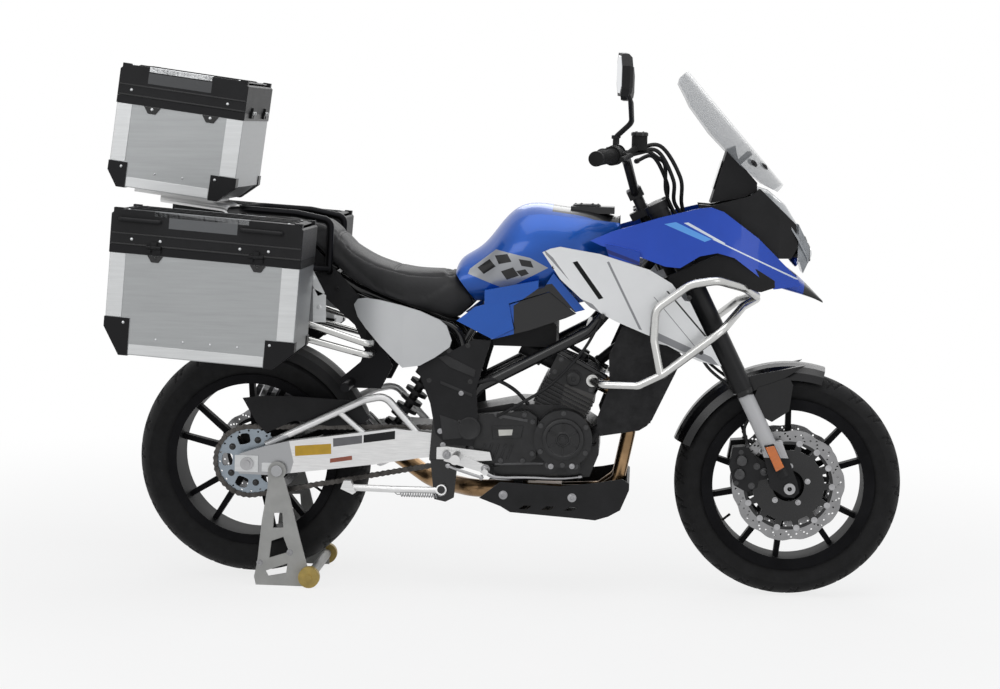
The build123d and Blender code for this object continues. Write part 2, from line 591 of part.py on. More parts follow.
def make_rear_hugger():
    """Black guard that follows the tyre ahead of the wheel, with the chain guard on its near side."""
    inner, outer = REAR_TYRE_R + 12, REAR_TYRE_R + 16
    hugger = sector([(outer, 0), (outer - 3, 44), (outer - 16, 74), (outer - 40, 88), (outer - 42, 84),
                     (outer - 19, 70), (inner - 3, 42), (inner, 0), (inner - 3, -42), (outer - 19, -70),
                     (outer - 42, -84), (outer - 40, -88), (outer - 16, -74), (outer - 3, -44)],
                    REAR_X, REAR_Z, 22, 78)
    guard = slab([(-700, 492), (-640, 500), (-560, 500), (-452, 496), (-388, 492), (-360, 448), (-382, 432),
                  (-470, 424), (-560, 436), (-636, 400), (-664, 430)], -CHAIN_Y - CHAIN_W / 2 - 6,
                 -CHAIN_Y - CHAIN_W / 2 - 2.5)
    top = slab([polar(outer - 40, a, REAR_X, REAR_Z) for a in (30, 34)] +
               [polar(outer - 26, a, REAR_X, REAR_Z) for a in (34, 30)], -CHAIN_Y - CHAIN_W / 2 - 6, -78)
    foot = slab([(-380, 446), (-372, 440), (-323, 392 + FIT), (-331, 392 + FIT)], -60, -34)
    save("rear_hugger", hugger + guard + top + foot + flip(foot))


# ---- bodywork --------------------------------------------------------------
TANK_Y = 150.0
TANK_FRONT_X = 286.0       # short of the fork legs at full lock


def carve(side, plan):
    """Body from its side outline (x, z) and plan outline (x, half width)."""
    zs = [p[1] for p in side]
    half = max(w for _, w in plan) + 1
    body = slab(side, -half, half)
    return body & deck([(x, w) for x, w in plan] + [(x, -w) for x, w in reversed(plan)], min(zs) - 1, max(zs) + 1)


# columns: x, bottom z and half width, waist z and half width, shoulder z and half width, crown z
TANK_STATIONS = (
    (-146, 767, 70, 800, 100, 828, 70, 843),
    (-99, 767, 80, 820, 112, 870, 84, 896),
    (-34, 773, 95, 850, 138, 930, 96, 964),
    (20, 781, 105, 880, TANK_Y + 4, 985, 104, 1016),
    (84, 790, 112, 890, TANK_Y + 8, 1000, 110, 1026),
    (151, 808, 116, 895, TANK_Y + 6, 995, 108, 1018),
    (220, 836, 108, 905, 132, 985, 94, 1011),
    (TANK_FRONT_X, 880, 62, 925, 74, 985, 58, 1004),
)
SEAT_STATIONS = (
    (-700, 930, 80, 960, 96, 974, 86, 981),
    (-640, 920, 90, 958, 108, 974, 96, 983),
    (-560, 900, 98, 946, 116, 964, 106, 972),
    (-491, 850, 102, 938, 117, 956, 108, 966),
    (-455, 800, 104, 905, 118, 926, 112, 938),
    (-420, 770, 108, 860, 126, 890, 120, 904),
    (-370, 750, 110, 830, 138, 862, 130, 874),
    (-320, 730, 110, 815, 149, 845, 138, 855),
    (-260, 710, 104, 800, 146, 832, 128, 845),
    (-200, 700, 96, 790, 130, 828, 106, 844),
    (-150, 690, 86, 785, 112, 830, 84, 847),
    (-90, 690, 70, 770, 96, 830, 70, 850),
)
SEAT_NOSE = [(-146, 842), (-84, 762)]      # slanted joint between tank and seat, top and bottom
# (x, y) of the panels that hang below the tank
PANEL_PLAN = [(-150, -146), (-60, -160), (30, -166), (120, -166), (220, -158)]
PANEL_WALL, PANEL_LEAN, PANEL_LEVEL = 6.0, 0.06, 750.0


def tank_body(extra=0.0):
    tank = hull(TANK_STATIONS, extra)
    top, low = SEAT_NOSE
    tank -= slab([(top[0] - extra, top[1]), (low[0] - extra, low[1]), (low[0] - extra, 700), (-200, 700),
                  (-200, top[1])], -200, 200)
    return tank


def make_tank():
    tank = tank_body()
    tank -= box(-200, 360, -64, 64, 740, 820)
    tank -= bar((steer_x(800), 0, 800), (steer_x(1100), 0, 1100), 62)
    tank += Pos(200, 0, 1015) * box(-45, 70, -48, 48, -12, 6)
    panel = skin([(-132, 718), (-37, 674), (19, 702), (4, 768), (108, 802), (177, 750), (202, 757),
                  (118, 850), (95, 812), (-84, 756)], PANEL_PLAN, PANEL_WALL, PANEL_LEAN, PANEL_LEVEL)
    pad = slab([(-60, 758), (80, 800), (80, 830), (-60, 800)], -TANK_Y - 20, -TANK_Y + 50)
    pad -= outboard(PANEL_PLAN, 1, PANEL_LEAN, PANEL_LEVEL)
    panel += pad - tank_body(FIT)
    shade = skin([(-40, 672), (60, 700), (154, 734), (180, 746), (108, 800), (4, 764), (22, 702)],
                 [(x, y + PANEL_WALL + FIT) for x, y in PANEL_PLAN], 5, PANEL_LEAN, PANEL_LEVEL)
    save("fuel_tank", tank)
    save("tank_panels", *both(panel), *both(shade - panel))


def make_seat():
    base = slab([(-700, 962), (-553, 947), (-430, 826), (-357, 787.6), (-230, 740.6), (-150, 722), (-129, 724),
                 (-98, 752), (-90, 1000), (-700, 1000)], -200, 200)
    top, low = SEAT_NOSE
    tank_room = slab([(top[0] - FIT, 900), (top[0] - FIT, top[1]), (low[0] - FIT, low[1]), (low[0] - FIT, 600),
                      (100, 600), (100, 900)], -200, 200)
    save("seat", (hull(SEAT_STATIONS) & base) - tank_room)


def make_side_panels():
    panel = skin([(-403, 752), (-393, 767), (-372, 771), (-333, 767), (-280, 756), (-227, 742), (-174, 720),
                  (-156, 705), (-142, 668), (-147, 650), (-185, 622), (-224, 600), (-269, 593), (-287, 609),
                  (-330, 649), (-370, 693), (-392, 721)],
                 [(-410, -150), (-345, -166), (-270, -172), (-200, -173), (-136, -170)], 8, 0.08, 690)
    mount = slab([(-276, 690), (-246, 682), (-246, 615), (-276, 640)], -167, -129.2)
    save("side_panels", *both(panel + mount))


def make_frame_covers():
    cover = slab([(-240, 690), (-140, 640), (-83, 672), (-40, 668), (-60, 600), (-76, 540), (-70, 470),
                  (-82, 390), (-150, 390), (-180, 420), (-196, 500), (-230, 585)], -ARM_OUT_Y - 13, -ARM_OUT_Y - 9)
    boss = pin(-120, 450, 16, -ARM_OUT_Y - 9, -ARM_OUT_Y - 8)
    save("frame_covers", *both(cover + boss))


# (x, y) of the outer faces of the side shrouds and of the fairing above them
SHROUD_PLAN = [(80, -176), (160, -196), (250, -209), (370, -215), (470, -212), (530, -204), (580, -192)]
SHROUD_LEAN, SHROUD_LEVEL = -0.12, 850.0     # tucks in below this height
SHROUD_WALL = 8.0
SHROUD_Y = 220.0           # beyond the widest point of both
FLANK_PLAN = [(200, -184), (300, -196), (400, -200), (500, -190), (600, -164), (690, -122), (775, -66)]
FLANK_LEAN, FLANK_LEVEL = 0.25, 900.0
FLANK_WALL = 7.0
COWL_FLOOR_Z = 900.3       # underside of the nose cowl, which rests on the fairing's beak


def make_shrouds():
    panel = skin([(89, 905), (110, 915), (135, 921), (238, 906), (367, 869), (425, 835), (458, 792), (472, 790),
                  (513, 711), (560, 622), (503, 634), (464, 650), (373, 697), (282, 733), (216, 767), (137, 837)],
                 SHROUD_PLAN, SHROUD_WALL, SHROUD_LEAN, SHROUD_LEVEL)
    panel -= slab([(168, 882), (180, 886), (250, 792), (238, 788)], -240, -150)
    bracket = slab([(380, 700), (440, 690), (440, 670), (380, 680)], -SHROUD_Y, -COWL_Y - 5)
    bracket -= outboard(SHROUD_PLAN, 2, SHROUD_LEAN, SHROUD_LEVEL)
    save("shrouds", *both(panel + bracket))


def make_fairing():
    flank = skin([(211, 938), (267, 963), (389, 1002), (490, 1028), (521, 1031), (554, 1020), (646, 953),
                  (751, 852), (762, 831), (689, 823), (641, 861), (584, 903), (540, 915), (494, 906),
                  (444, 875), (406, 878), (342, 900), (240, 926)], FLANK_PLAN, FLANK_WALL, FLANK_LEAN, FLANK_LEVEL)
    tab = slab([(250, 932), (340, 915), (340, 880), (262, 896)], -SHROUD_Y, -150)
    tab -= outboard(SHROUD_PLAN, SHROUD_WALL + FIT, SHROUD_LEAN, SHROUD_LEVEL)
    tab &= outboard(FLANK_PLAN, FLANK_WALL, FLANK_LEAN, FLANK_LEVEL)
    beak = hull((
        (640, 850, 100, 872, 130, 886, 112, 896),
        (700, 826, 84, 850, 112, 874, 92, 889),
        (766, 806, 46, 822, 62, 838, 50, 846),
        (826, 783, 10, 785, 14, 787, 10, 788),
    ))
    wing = slab([(646, 899), (700, 878), (751, 838), (700, 824), (646, 858)], -200, -90)
    wing -= outboard(FLANK_PLAN, 2, FLANK_LEAN, FLANK_LEVEL)
    body = beak + box(655, 700, -40, 40, 870, COWL_FLOOR_Z - FIT)
    for piece in (flank + tab, wing):
        body += piece + flip(piece)
    save("front_fairing", body)


def make_nose_cowl():
    shell = carve(
        [(490, 1036), (525, 1034), (620, 1060), (648, 1080), (745, 990), (752, 930), (735, COWL_FLOOR_Z),
         (640, COWL_FLOOR_Z), (600, 960), (500, 1000)],
        [(490, 105), (600, 108), (700, 96), (752, 70)])
    shell -= slab([(640, 1100), (660, 1082), (752, 994), (780, 960), (780, 1100)], -120, 120)
    shell -= box(440, 600, -60, 60, 980, 1060)
    stay = slab([(410, 905), (655, 905), (655, 960), (620, 960), (600, 932), (410, 932)], -18, 18)
    body = shell + stay
    body -= bar((steer_x(830), 0, 830), (steer_x(1100), 0, 1100), HEAD_R + FIT)
    save("nose_cowl", body)


def make_lamps():
    lamp = carve(
        [(752 + FIT, 990), (784, 930), (783, 895), (768, 862), (752 + FIT, 905)],
        [(752, 66), (784, 52)])
    visor = carve([(650, 1082 + FIT), (664, 1084), (742, 1002), (784, 936), (752 + FIT, 994)],
                  [(640, 84), (700, 80), (784, 50)])
    tail = Pos(-FIT, 0, 0) * slab([(-735, 860.2), (-775, 790.2), (-789, 798), (-749, 868)], -55, 55)
    save("lamps", lamp + visor, tail)


SCREEN_FOOT, SCREEN_TOP = (712, 1092), (452, 1384)   # ridge line, (x, z)
SCREEN_R = 190.0
SCREEN_WALL = 4.0
SCREEN_HALF = 136.0


def sag(y):
    """How far the screen falls back from its ridge at a distance from the middle plane."""
    return SCREEN_R - sqrt(SCREEN_R ** 2 - y ** 2)


def screen_plane():
    rise = Vector(SCREEN_TOP[0] - SCREEN_FOOT[0], 0, SCREEN_TOP[1] - SCREEN_FOOT[1])
    return Plane(origin=(SCREEN_FOOT[0], 0, SCREEN_FOOT[1]), x_dir=(0, 1, 0), z_dir=rise), rise


def make_windscreen():
    plane, rise = screen_plane()
    edge = SCREEN_HALF + 4
    outer = [(-edge, sag(edge)), (0, 0), (edge, sag(edge))]
    inner = [(edge - 2, sag(edge) + SCREEN_WALL), (0, SCREEN_WALL), (2 - edge, sag(edge) + SCREEN_WALL)]
    profile = ThreePointArc(*outer) + Line(outer[2], inner[0]) + ThreePointArc(*inner) + Line(inner[2], outer[0])
    screen = extrude(plane * make_face(profile), rise.length)
    half = [(70, 1060), (112, 1090), (SCREEN_HALF - 6, 1140), (SCREEN_HALF, 1220), (SCREEN_HALF - 6, 1290),
            (112, 1350), (84, 1372), (50, 1400)]
    save("windscreen", screen & front(half + [(-w, z) for w, z in reversed(half)], 300, 900))


def make_instruments():
    dash = slab([(520, 1040), (560, 1180), (580, 1190), (590, 1150), (640, 1096), (640, 1074.6), (600, 1055)],
                -70, 70)
    plane, rise = screen_plane()
    ahead = plane.y_dir * -1
    start = Vector(585, -50, 1140)
    reach = (plane.origin - start).dot(ahead) - sag(50 + 6) - SCREEN_WALL - FIT
    end = start + ahead * reach
    stalk = bar((start.X, start.Y, start.Z), (end.X, end.Y, end.Z), 6)
    save("instrument_panel", dash + stalk + flip(stalk))


BAR_R = 11.0


def make_crash_bars():
    low = tube([(226, -118, 568), (250, -190, 566), (345, -222, 570), (410, -232, 604), (555, -230, 718),
                (612, -120, 775), (650, -40, 790), (650, 0, 790)], BAR_R, [30, 40, 60, 60, 40, 36])
    up = tube([(402, -231, 600), (382, -232, 690), (384, -236, 770), (470, -236, 835), (540, -226, 848),
               (612, -160, 826), (648, -70, 800)], BAR_R, [60, 40, 60, 50, 60])
    half = low + up
    half += pin(226, 568, 16, -BLOCK_Y - 8, -BLOCK_Y + 4 - FIT)
    save("crash_bars", half + flip(half))


# ---- luggage ---------------------------------------------------------------
PANNIER_L, PANNIER_D, PANNIER_H, PANNIER_LID = 476.0, 236.0, 272.0, 88.0
PANNIER_TILT = 3.7
PANNIER_X, PANNIER_Z = -988.0, 641.0     # lower rear corner
PANNIER_Y = 480.0          # outer face
TOP_L, TOP_D, TOP_H, TOP_LID = 334.0, 372.0, 235.0, 80.0
TOP_TILT = 7.0
TOP_CUTS = ((26, 40), (44, 40))          # lower corner bevels, rear and front: (along, up)
TOP_SEAT_Z = 1051.0
WALL = 3.0
SEAM = 0.5                 # gap between a case and its lid
BRACKET = 2.5              # corner brackets stand this proud of the case
HANDLE_R = 5.0


def case_seat():
    """Placement of the top case: its own corner and tilt."""
    rear_edge = (TOP_CUTS[0][1] - 1) * sin(radians(TOP_TILT))
    return Pos(-LENGTH_HALF - rear_edge + BRACKET * cos(radians(TOP_TILT)), -TOP_D / 2, TOP_SEAT_Z) * Rot(
        0, TOP_TILT, 0)


STAY_OUT_Y = 119.2         # outer side of the rear stays where the passenger hangers bolt on
HOOP_Y = 222.0
HOOP_R = 9.0
TOP_RAIL_R = 11.0


def top_rail(extra=0.0):
    """Left rail under the top case."""
    return tube([(-560, -60, 924.5), (-700, -60, 930), (-760, -60, 992.6), (-935, -60, 1014.1)],
                TOP_RAIL_R + extra, [40, 30])


def make_racks():
    rack = case_seat() * box(60, 270, TOP_D / 2 - 120, TOP_D / 2 + 120, -12, -FIT)
    rack += top_rail() + flip(top_rail())
    rack += pin(-850, 1001.5, 9, -60, 60) + pin(-640, 927, 9, -60, 60)
    save("top_case_rack", rack)

    side = tube([(-474, -RAIL_Y - 12 - FIT, 836), (-474, -132, 836), (-470, -132, 968), (-560, -132, 985),
                 (-700, -124, 992), (-752, -60, 985)], 10, [12, 20, 60, 30]) - top_rail(FIT)
    hoop = tube([(-352, -STAY_OUT_Y - 7 - FIT, 655), (-352, -HOOP_Y, 655), (-542, -HOOP_Y, 714), (-900, -HOOP_Y, 740),
                 (-930, -HOOP_Y, 820), (-560, -HOOP_Y, 850), (-542, -HOOP_Y, 672)], HOOP_R, [24, 60, 50, 50, 40])
    low = tube([(-542, -HOOP_Y, 672), (-352, -HOOP_Y, 626), (-352, -STAY_OUT_Y - 7 - FIT, 626)], HOOP_R, [30])
    tie = bar((-583, -RAIL_Y - 16.2, 893), (-590, -HOOP_Y, 847), HOOP_R)
    link = bar((-476, -136, 842), (-560, -HOOP_Y, 850), HOOP_R)
    side += hoop + low + tie + link
    for x, z in ((-620, 719.7), (-850, 736.4), (-850, 826.5), (-640, 843.5)):
        side += pin(x, z, 14, -PANNIER_Y + PANNIER_D + FIT, -HOOP_Y)
    save("pannier_racks", *both(side))


def case_body(length, depth, height, chamfers):
    """Open box from its own corner: length along x, depth along y, seam at z = height."""
    rear_cut, front_cut = chamfers
    outline = [(0, height), (0, rear_cut[1]), (rear_cut[0], 0), (length - front_cut[0], 0),
               (length, front_cut[1]), (length, height)]
    inner = [(WALL, height + 1), (WALL, rear_cut[1] + 1), (rear_cut[0] + 1, WALL),
             (length - front_cut[0] - 1, WALL), (length - WALL, front_cut[1] + 1), (length - WALL, height + 1)]
    body = slab(outline, 0, depth) - slab(inner, WALL, depth - WALL)
    band = box(-2, length + 2, -2, depth + 2, height - 20, height) - box(0, length, 0, depth, height - 21, height + 1)
    proud = slab([(-BRACKET, height), (-BRACKET, rear_cut[1] - 1), (rear_cut[0] - 1, -BRACKET),
                  (length - front_cut[0] + 1, -BRACKET), (length + BRACKET, front_cut[1] - 1),
                  (length + BRACKET, height)], -BRACKET, depth + BRACKET)
    shell = proud - slab(outline, 0, depth)
    for x0, x1, top in ((-9, rear_cut[0] + 22, rear_cut[1] + 24), (length - front_cut[0] - 22, length + 9,
                                                                  front_cut[1] + 24)):
        for y0, y1 in ((-9, 32), (depth - 32, depth + 9)):
            body += shell & box(x0, x1, y0, y1, -9, top)
    return body + band


def case_lid(length, depth, rise):
    bevel = 12
    shell = slab([(-2, 0), (length + 2, 0), (length + 2, rise - bevel), (length - bevel, rise), (bevel, rise),
                  (-2, rise - bevel)], -2, depth + 2)
    hollow = box(WALL, length - WALL, WALL, depth - WALL, -1, rise - WALL)
    return shell - hollow


HINGE_R = 5.0
HINGE_PIN_R = 2.5
HINGE_OUT = 8.0            # hinge pin from the case wall


def hinge():
    """Hinge about the local X axis with its wall at y = HINGE_OUT: the case's part with the pin, and the lid's."""
    fixed = bar((-18, 0, 0), (18, 0, 0), HINGE_PIN_R)
    for x0, x1 in ((-18, -7), (7, 18)):
        fixed += box(x0, x1, 0, HINGE_OUT, -14, -SEAM) + bar((x0, 0, 0), (x1, 0, 0), HINGE_R)
    turning = box(-6.5, 6.5, 0, HINGE_OUT, SEAM, 14) + bar((-6.5, 0, 0), (6.5, 0, 0), HINGE_R)
    return fixed, turning - bar((-30, 0, 0), (30, 0, 0), HINGE_PIN_R + RUN)


def make_pannier(name, sign):
    body = case_body(PANNIER_L, PANNIER_D, PANNIER_H, ((40, 68), (50, 45)))
    lid = Pos(0, 0, PANNIER_H + SEAM) * case_lid(PANNIER_L, PANNIER_D, PANNIER_LID)
    fixed, turning = hinge()
    for x in (110, PANNIER_L - 110):
        at = Pos(x, -HINGE_OUT, PANNIER_H + SEAM / 2)
        body += at * fixed
        lid += at * turning
    grip_z, grip_y = PANNIER_H + SEAM + PANNIER_LID - 24, -12
    for x0, x1 in ((20, 120), (PANNIER_L - 151, PANNIER_L - 51)):
        lid += tube([(x0, -1, grip_z), (x0, grip_y, grip_z), (x1, grip_y, grip_z), (x1, -1, grip_z)], HANDLE_R, [8, 8])
    place = Pos(PANNIER_X, -PANNIER_Y, PANNIER_Z) * Rot(0, PANNIER_TILT, 0)
    body, lid = place * body, place * lid
    if sign > 0:
        body, lid = flip(body), flip(lid)
    save(f"pannier_body_{name}", body)
    save(f"pannier_lid_{name}", lid)


def make_top_case():
    body = case_body(TOP_L, TOP_D, TOP_H, TOP_CUTS)
    lid = Pos(0, 0, TOP_H + SEAM) * case_lid(TOP_L, TOP_D, TOP_LID)
    fixed, turning = hinge()
    for y in (90, TOP_D - 90):
        at = Pos(TOP_L + HINGE_OUT, y, TOP_H + SEAM / 2) * Rot(0, 0, 90)
        body += at * fixed
        lid += at * turning
    place = case_seat()
    save("top_case_body", place * body)
    save("top_case_lid", place * lid)


# ---- stand, pegs, plate ----------------------------------------------------
SIDE_STAND_X, SIDE_STAND_Z = -160.0, 272.0
SIDE_STAND_Y = 172.0
STAND_SPLAY = 18.0         # pivot bolt's tilt, which carries the foot outward as it swings down


def make_foot_controls():
    hanger = slab([(-176, 384), (-150, 387), (-36, 376), (-30, 354), (-60, 352), (-176, 353)],
                  -ARM_OUT_Y - 15, -ARM_OUT_Y - 8 - FIT)
    peg = bar((-120, -ARM_OUT_Y - 15, 366), (-120, -255, 366), 13)
    inner, outer = STAY_OUT_Y + FIT, STAY_OUT_Y + 7
    rear_hanger = slab([(-372, 748), (-340, 748), (-325, 640), (-300, 590), (-330, 530), (-430, 530),
                        (-440, 552), (-385, 600), (-372, 640)], -outer, -inner)
    rear_peg = bar((-410, -outer, 544), (-410, -248, 544), 12)
    front_part, rear_part = hanger + peg, rear_hanger + rear_peg
    lever = slab([(-150, 372), (-140, 378), (-44, 342), (-36, 330), (-50, 322), (-156, 350)],
                 -ARM_OUT_Y - 24, -ARM_OUT_Y - 15)
    toe = bar((-44, -ARM_OUT_Y - 24, 330), (-44, -215, 330), 8)
    save("foot_controls", front_part + lever + toe, flip(front_part), *both(rear_part))


STAND_BOLT_R = 6.0


def along_stand(distance):
    """Point on the side stand's pivot axis, measured outward from its own middle."""
    splay = radians(STAND_SPLAY)
    return (SIDE_STAND_X, -SIDE_STAND_Y - distance * cos(splay), SIDE_STAND_Z + distance * sin(splay))


def make_side_stand():
    boss = bar(along_stand(-7), along_stand(9), 14)
    leg = tube([(SIDE_STAND_X, -SIDE_STAND_Y, SIDE_STAND_Z), (-290, -SIDE_STAND_Y - 2, 271),
                (-400, -SIDE_STAND_Y - 4, 273)], 9, [200])
    foot = slab([(-424, 270), (-416, 292), (-398, 292), (-384, 262), (-392, 256)],
                -SIDE_STAND_Y - 18, -SIDE_STAND_Y + 8)
    stand = boss + leg + foot - bar(along_stand(-30), along_stand(40), STAND_BOLT_R + RUN)
    save("side_stand", stand)


def side_stand_bracket():
    """Lug on the frame that carries the side stand's pivot bolt."""
    lug = slab([(-192, 350), (-120, 350), (-128, 252), (-150, 240), (-180, 246)],
               -ARM_OUT_Y - 12, -ARM_OUT_Y - 8)
    bolt = bar(along_stand(-20), along_stand(10), STAND_BOLT_R)
    return lug + bolt + bar(along_stand(10), along_stand(14), 10)


CASTOR_X, CASTOR_R = -506.0, 28.0
PLATE_Y0, PLATE_Y1 = 152.0, 158.0


def make_paddock_stand():
    side = slab([(-622, 300), (-585, 300), (-578, 285), (-561, 230), (-533, 124), (-516, 62), (-497, 12), (-497, 0),
                 (-650, 0), (-655, 22), (-647, 60), (-636, 174), (-622, 262)], -PLATE_Y1, -PLATE_Y0)
    side += pin(SPOOL_X, SPOOL_Z, 24, -PLATE_Y1, -PLATE_Y0)
    side -= pin(SPOOL_X, SPOOL_Z, SPOOL_R + FIT, -200, -100)
    side -= slab([(-604, 194), (-582, 195), (-578, 155), (-606, 154)], -200, -100)
    side -= slab([(-610, 119), (-578, 131), (-562, 91), (-615, 73)], -200, -100)
    side -= slab([(-625, 38), (-566, 60), (-569, 34), (-617, 24)], -200, -100)
    stand = side + flip(side)
    stand += pin(CASTOR_X, CASTOR_R, 13, -PLATE_Y1, PLATE_Y1)
    stand -= pin(CASTOR_X, CASTOR_R, 8 + RUN, -300, 300)
    save("paddock_stand", stand)
    castor = pin(CASTOR_X, CASTOR_R, 8, -PLATE_Y1 - 26, PLATE_Y1 + 26)
    for sign in (-1, 1):
        castor += pin(CASTOR_X, CASTOR_R, CASTOR_R, sign * (PLATE_Y1 + 3), sign * (PLATE_Y1 + 22))
    save("stand_castors", castor)


def make_plate_bracket():
    arm = slab([(-606, 893 - FIT), (-586, 893 - FIT), (-590, 860), (-700, 820), (-752, 760), (-770, 650),
                (-790, 650), (-785, 700), (-775, 790), (-735, 860), (-640, 884)], -20, 20)
    plate = Pos(-792, 0, 700) * Rot(0, 12, 0) * Box(3, 200, 130)
    save("plate_bracket", arm + plate)


# ---- steering --------------------------------------------------------------
SEAL_Z = 545.0
CLAMP_R = 31.0
YOKE_TOP_T = 20.0


def along(z0, z1, y, radius):
    """Round bar on the fork leg's line between two heights."""
    return bar((leg_x(z0), y, z0), (leg_x(z1), y, z1), radius)


def on_axis(z0, z1, radius):
    return bar((steer_x(z0), 0, z0), (steer_x(z1), 0, z1), radius)


def yoke(z, depth):
    lean = Pos(steer_x(z), 0, z) * Rot(0, -RAKE, 0)
    plate = deck([(-34, 44), (24, 60), (20, LEG_Y), (60, LEG_Y), (62, 60), (54, 0), (62, -60), (60, -LEG_Y),
                  (20, -LEG_Y), (24, -60), (-34, -44)], -depth / 2, depth / 2)
    for y in (-LEG_Y, LEG_Y):
        plate += Pos(YOKE_OFFSET, y, 0) * Cylinder(CLAMP_R, depth)
    return lean * plate


def make_fork():
    fork = on_axis(LOW_YOKE_Z - 6, TOP_YOKE_Z + 16, STEM_R)
    fork += yoke(LOW_YOKE_Z, 26) + yoke(TOP_YOKE_Z, YOKE_TOP_T)
    leg = along(SEAL_Z, TOP_YOKE_Z + 22, -LEG_Y, OUTER_TUBE_R)
    leg += along(330, SEAL_Z, -LEG_Y, SLIDER_R)
    foot = slab([(700, 420), (726, 424), (770, 318), (776, 290), (762, 276), (738, 278), (700, 300), (690, 350),
                 (676, 394)], -LEG_Y - 14, -LEG_Y + 16)
    leg += foot
    fork += leg + flip(leg)
    fork -= pin(FRONT_X, FRONT_Z, SPINDLE_R + FIT, -200, 200)
    save("fork", fork)
    axle = pin(FRONT_X, FRONT_Z, SPINDLE_R, -LEG_Y - 18, LEG_Y + 18)
    axle += pin(FRONT_X, FRONT_Z, 15, -LEG_Y - 22, -LEG_Y - 14) + pin(FRONT_X, FRONT_Z, 15, LEG_Y + 14, LEG_Y + 22)
    for sign in (-1, 1):
        axle += pin(FRONT_X, FRONT_Z, 14, sign * (FRONT_HUB + DISC_T + FIT), sign * (LEG_Y - 16 - FIT))
    axle -= pin(FRONT_X, FRONT_Z, 6, -200, 200)
    save("front_axle", axle)


BAR_X = steer_x(TOP_YOKE_Z)
RISE = 42.0                # underside of the bar clamp above the top yoke


def on_bar(ahead, y, up):
    """Point given from the steering axis at the top yoke."""
    return (BAR_X + ahead, y, TOP_YOKE_Z + up)


BAR_KINK = on_bar(-74, -250, 152)          # start of the left grip's straight run
BAR_END = on_bar(-118, -408, 144)


def make_handlebar():
    half = tube([on_bar(-26, 0, RISE + 8), on_bar(-22, -60, RISE + 10), on_bar(-48, -150, 142), BAR_KINK, BAR_END],
                BAR_R, [40, 60, 60])
    handlebar = half + flip(half)
    lean = Pos(BAR_X, 0, TOP_YOKE_Z) * Rot(0, -RAKE, 0)
    handlebar += lean * box(-16, 24, -58, 58, RISE, RISE + 24)
    for y in (-40, 40):
        handlebar += lean * Pos(4, y, (YOKE_TOP_T / 2 + FIT + RISE) / 2) * Cylinder(
            14, RISE - YOKE_TOP_T / 2 - FIT)
    save("handlebar", handlebar)


def make_hand_controls():
    start, end = Vector(*BAR_KINK), Vector(*BAR_END)
    run = (end - start) / (end - start).length

    def at(distance):
        point = start + run * distance
        return (point.X, point.Y, point.Z)

    hole = bar(at(-10), at(400), BAR_R + FIT)
    grip = bar(at(36), at(158), 17) + bar(at(158), at(172), 19)
    block = bar(at(4), at(34), 24)
    lever = tube([on_bar(-48, -262, 152), on_bar(-32, -300, 154), on_bar(-56, -410, 144)], 6, [60])
    stub = bar(on_bar(-82, -264, 152), on_bar(-38, -262, 152), 9)
    pot = Pos(*on_bar(-14, -232, 188)) * Cylinder(20, 44)
    pot_arm = bar(on_bar(-42, -262, 154), on_bar(-14, -236, 178), 8)
    perch = block + grip + stub + lever + pot_arm + pot - hole
    ahead = (CLAMP_R + 4 + FIT) / cos(radians(RAKE))
    low_z = TOP_YOKE_Z - 78
    turn_z = TOP_YOKE_Z + 52
    cable = tube([on_bar(-38 + FIT, -264, 152), on_bar(8, -226, 164), on_bar(56, -140, 132),
                  (leg_x(turn_z) + ahead, -LEG_Y, turn_z), (leg_x(low_z) + ahead, -LEG_Y, low_z)], 4, [30, 50, 60])
    save("hand_controls", *both(perch), *both(cable))


def make_mirrors():
    stem = tube([on_bar(-76, -264, 176.4), on_bar(-76, -264, 198), on_bar(-36, -286, 236), on_bar(-40, -372, 292),
                 on_bar(-52, -402, 322)], 5.5, [20, 30, 40])
    outline = [(-52, -34), (-30, -54), (24, -52), (50, -20), (48, 30), (26, 54), (-30, 50), (-54, 20)]
    head = front(outline, -14, 14)
    head = chamfer(head.faces().sort_by(Axis.X)[-1].edges(), 9)
    head = Pos(*on_bar(-54, -410, 352)) * Rot(0, 0, 8) * head
    save("mirrors", *both(stem + head))


def make_front_fender():
    inner, outer = FRONT_TYRE_R + 20, FRONT_TYRE_R + 24
    half = [(outer, 0), (outer - 2, 24), (outer - 9, 46), (outer - 24, 64), (outer - 44, 71)]
    under = [(outer - 45, 67), (outer - 26, 60), (outer - 13, 44), (inner - 2, 23), (inner, 0)]
    shell = sector(half + under + [(r, -y) for r, y in reversed(under[:-1])] +
                   [(r, -y) for r, y in reversed(half[1:])], FRONT_X, FRONT_Z, 74, 160)
    cheek = slab([polar(inner - 38, 96, FRONT_X, FRONT_Z), polar(outer, 84, FRONT_X, FRONT_Z),
                  polar(outer, 122, FRONT_X, FRONT_Z), polar(inner - 50, 116, FRONT_X, FRONT_Z)], -80, -67)
    stay = slab([(640, 500), (660, 560), (690, 570), (740, 590), (752, 570), (744, 500), (700, 470)], -84, -80)
    body = shell
    for piece in (cheek, stay):
        body += piece + flip(piece)
    legs = along(300, 700, -LEG_Y, SLIDER_R + FIT) + along(SEAL_Z - 1, 700, -LEG_Y, OUTER_TUBE_R + FIT)
    save("front_fender", body - legs - flip(legs))


def make_front_calipers():
    block = slab([(600, 400), (640, 404), (676, 350), (668, 296), (640, 282), (606, 300), (592, 350)],
                 -92, -FRONT_HUB + 14)
    rotor = pin(FRONT_X, FRONT_Z, FRONT_DISC_R + 6, -FRONT_HUB - DISC_T - 3, -FRONT_HUB + 3)
    lug = slab([(655, 384), (702, 352), (702, 322), (665, 312)], -LEG_Y + 16 + FIT, -80)
    caliper = block - rotor + lug
    save("front_calipers", *both(caliper))


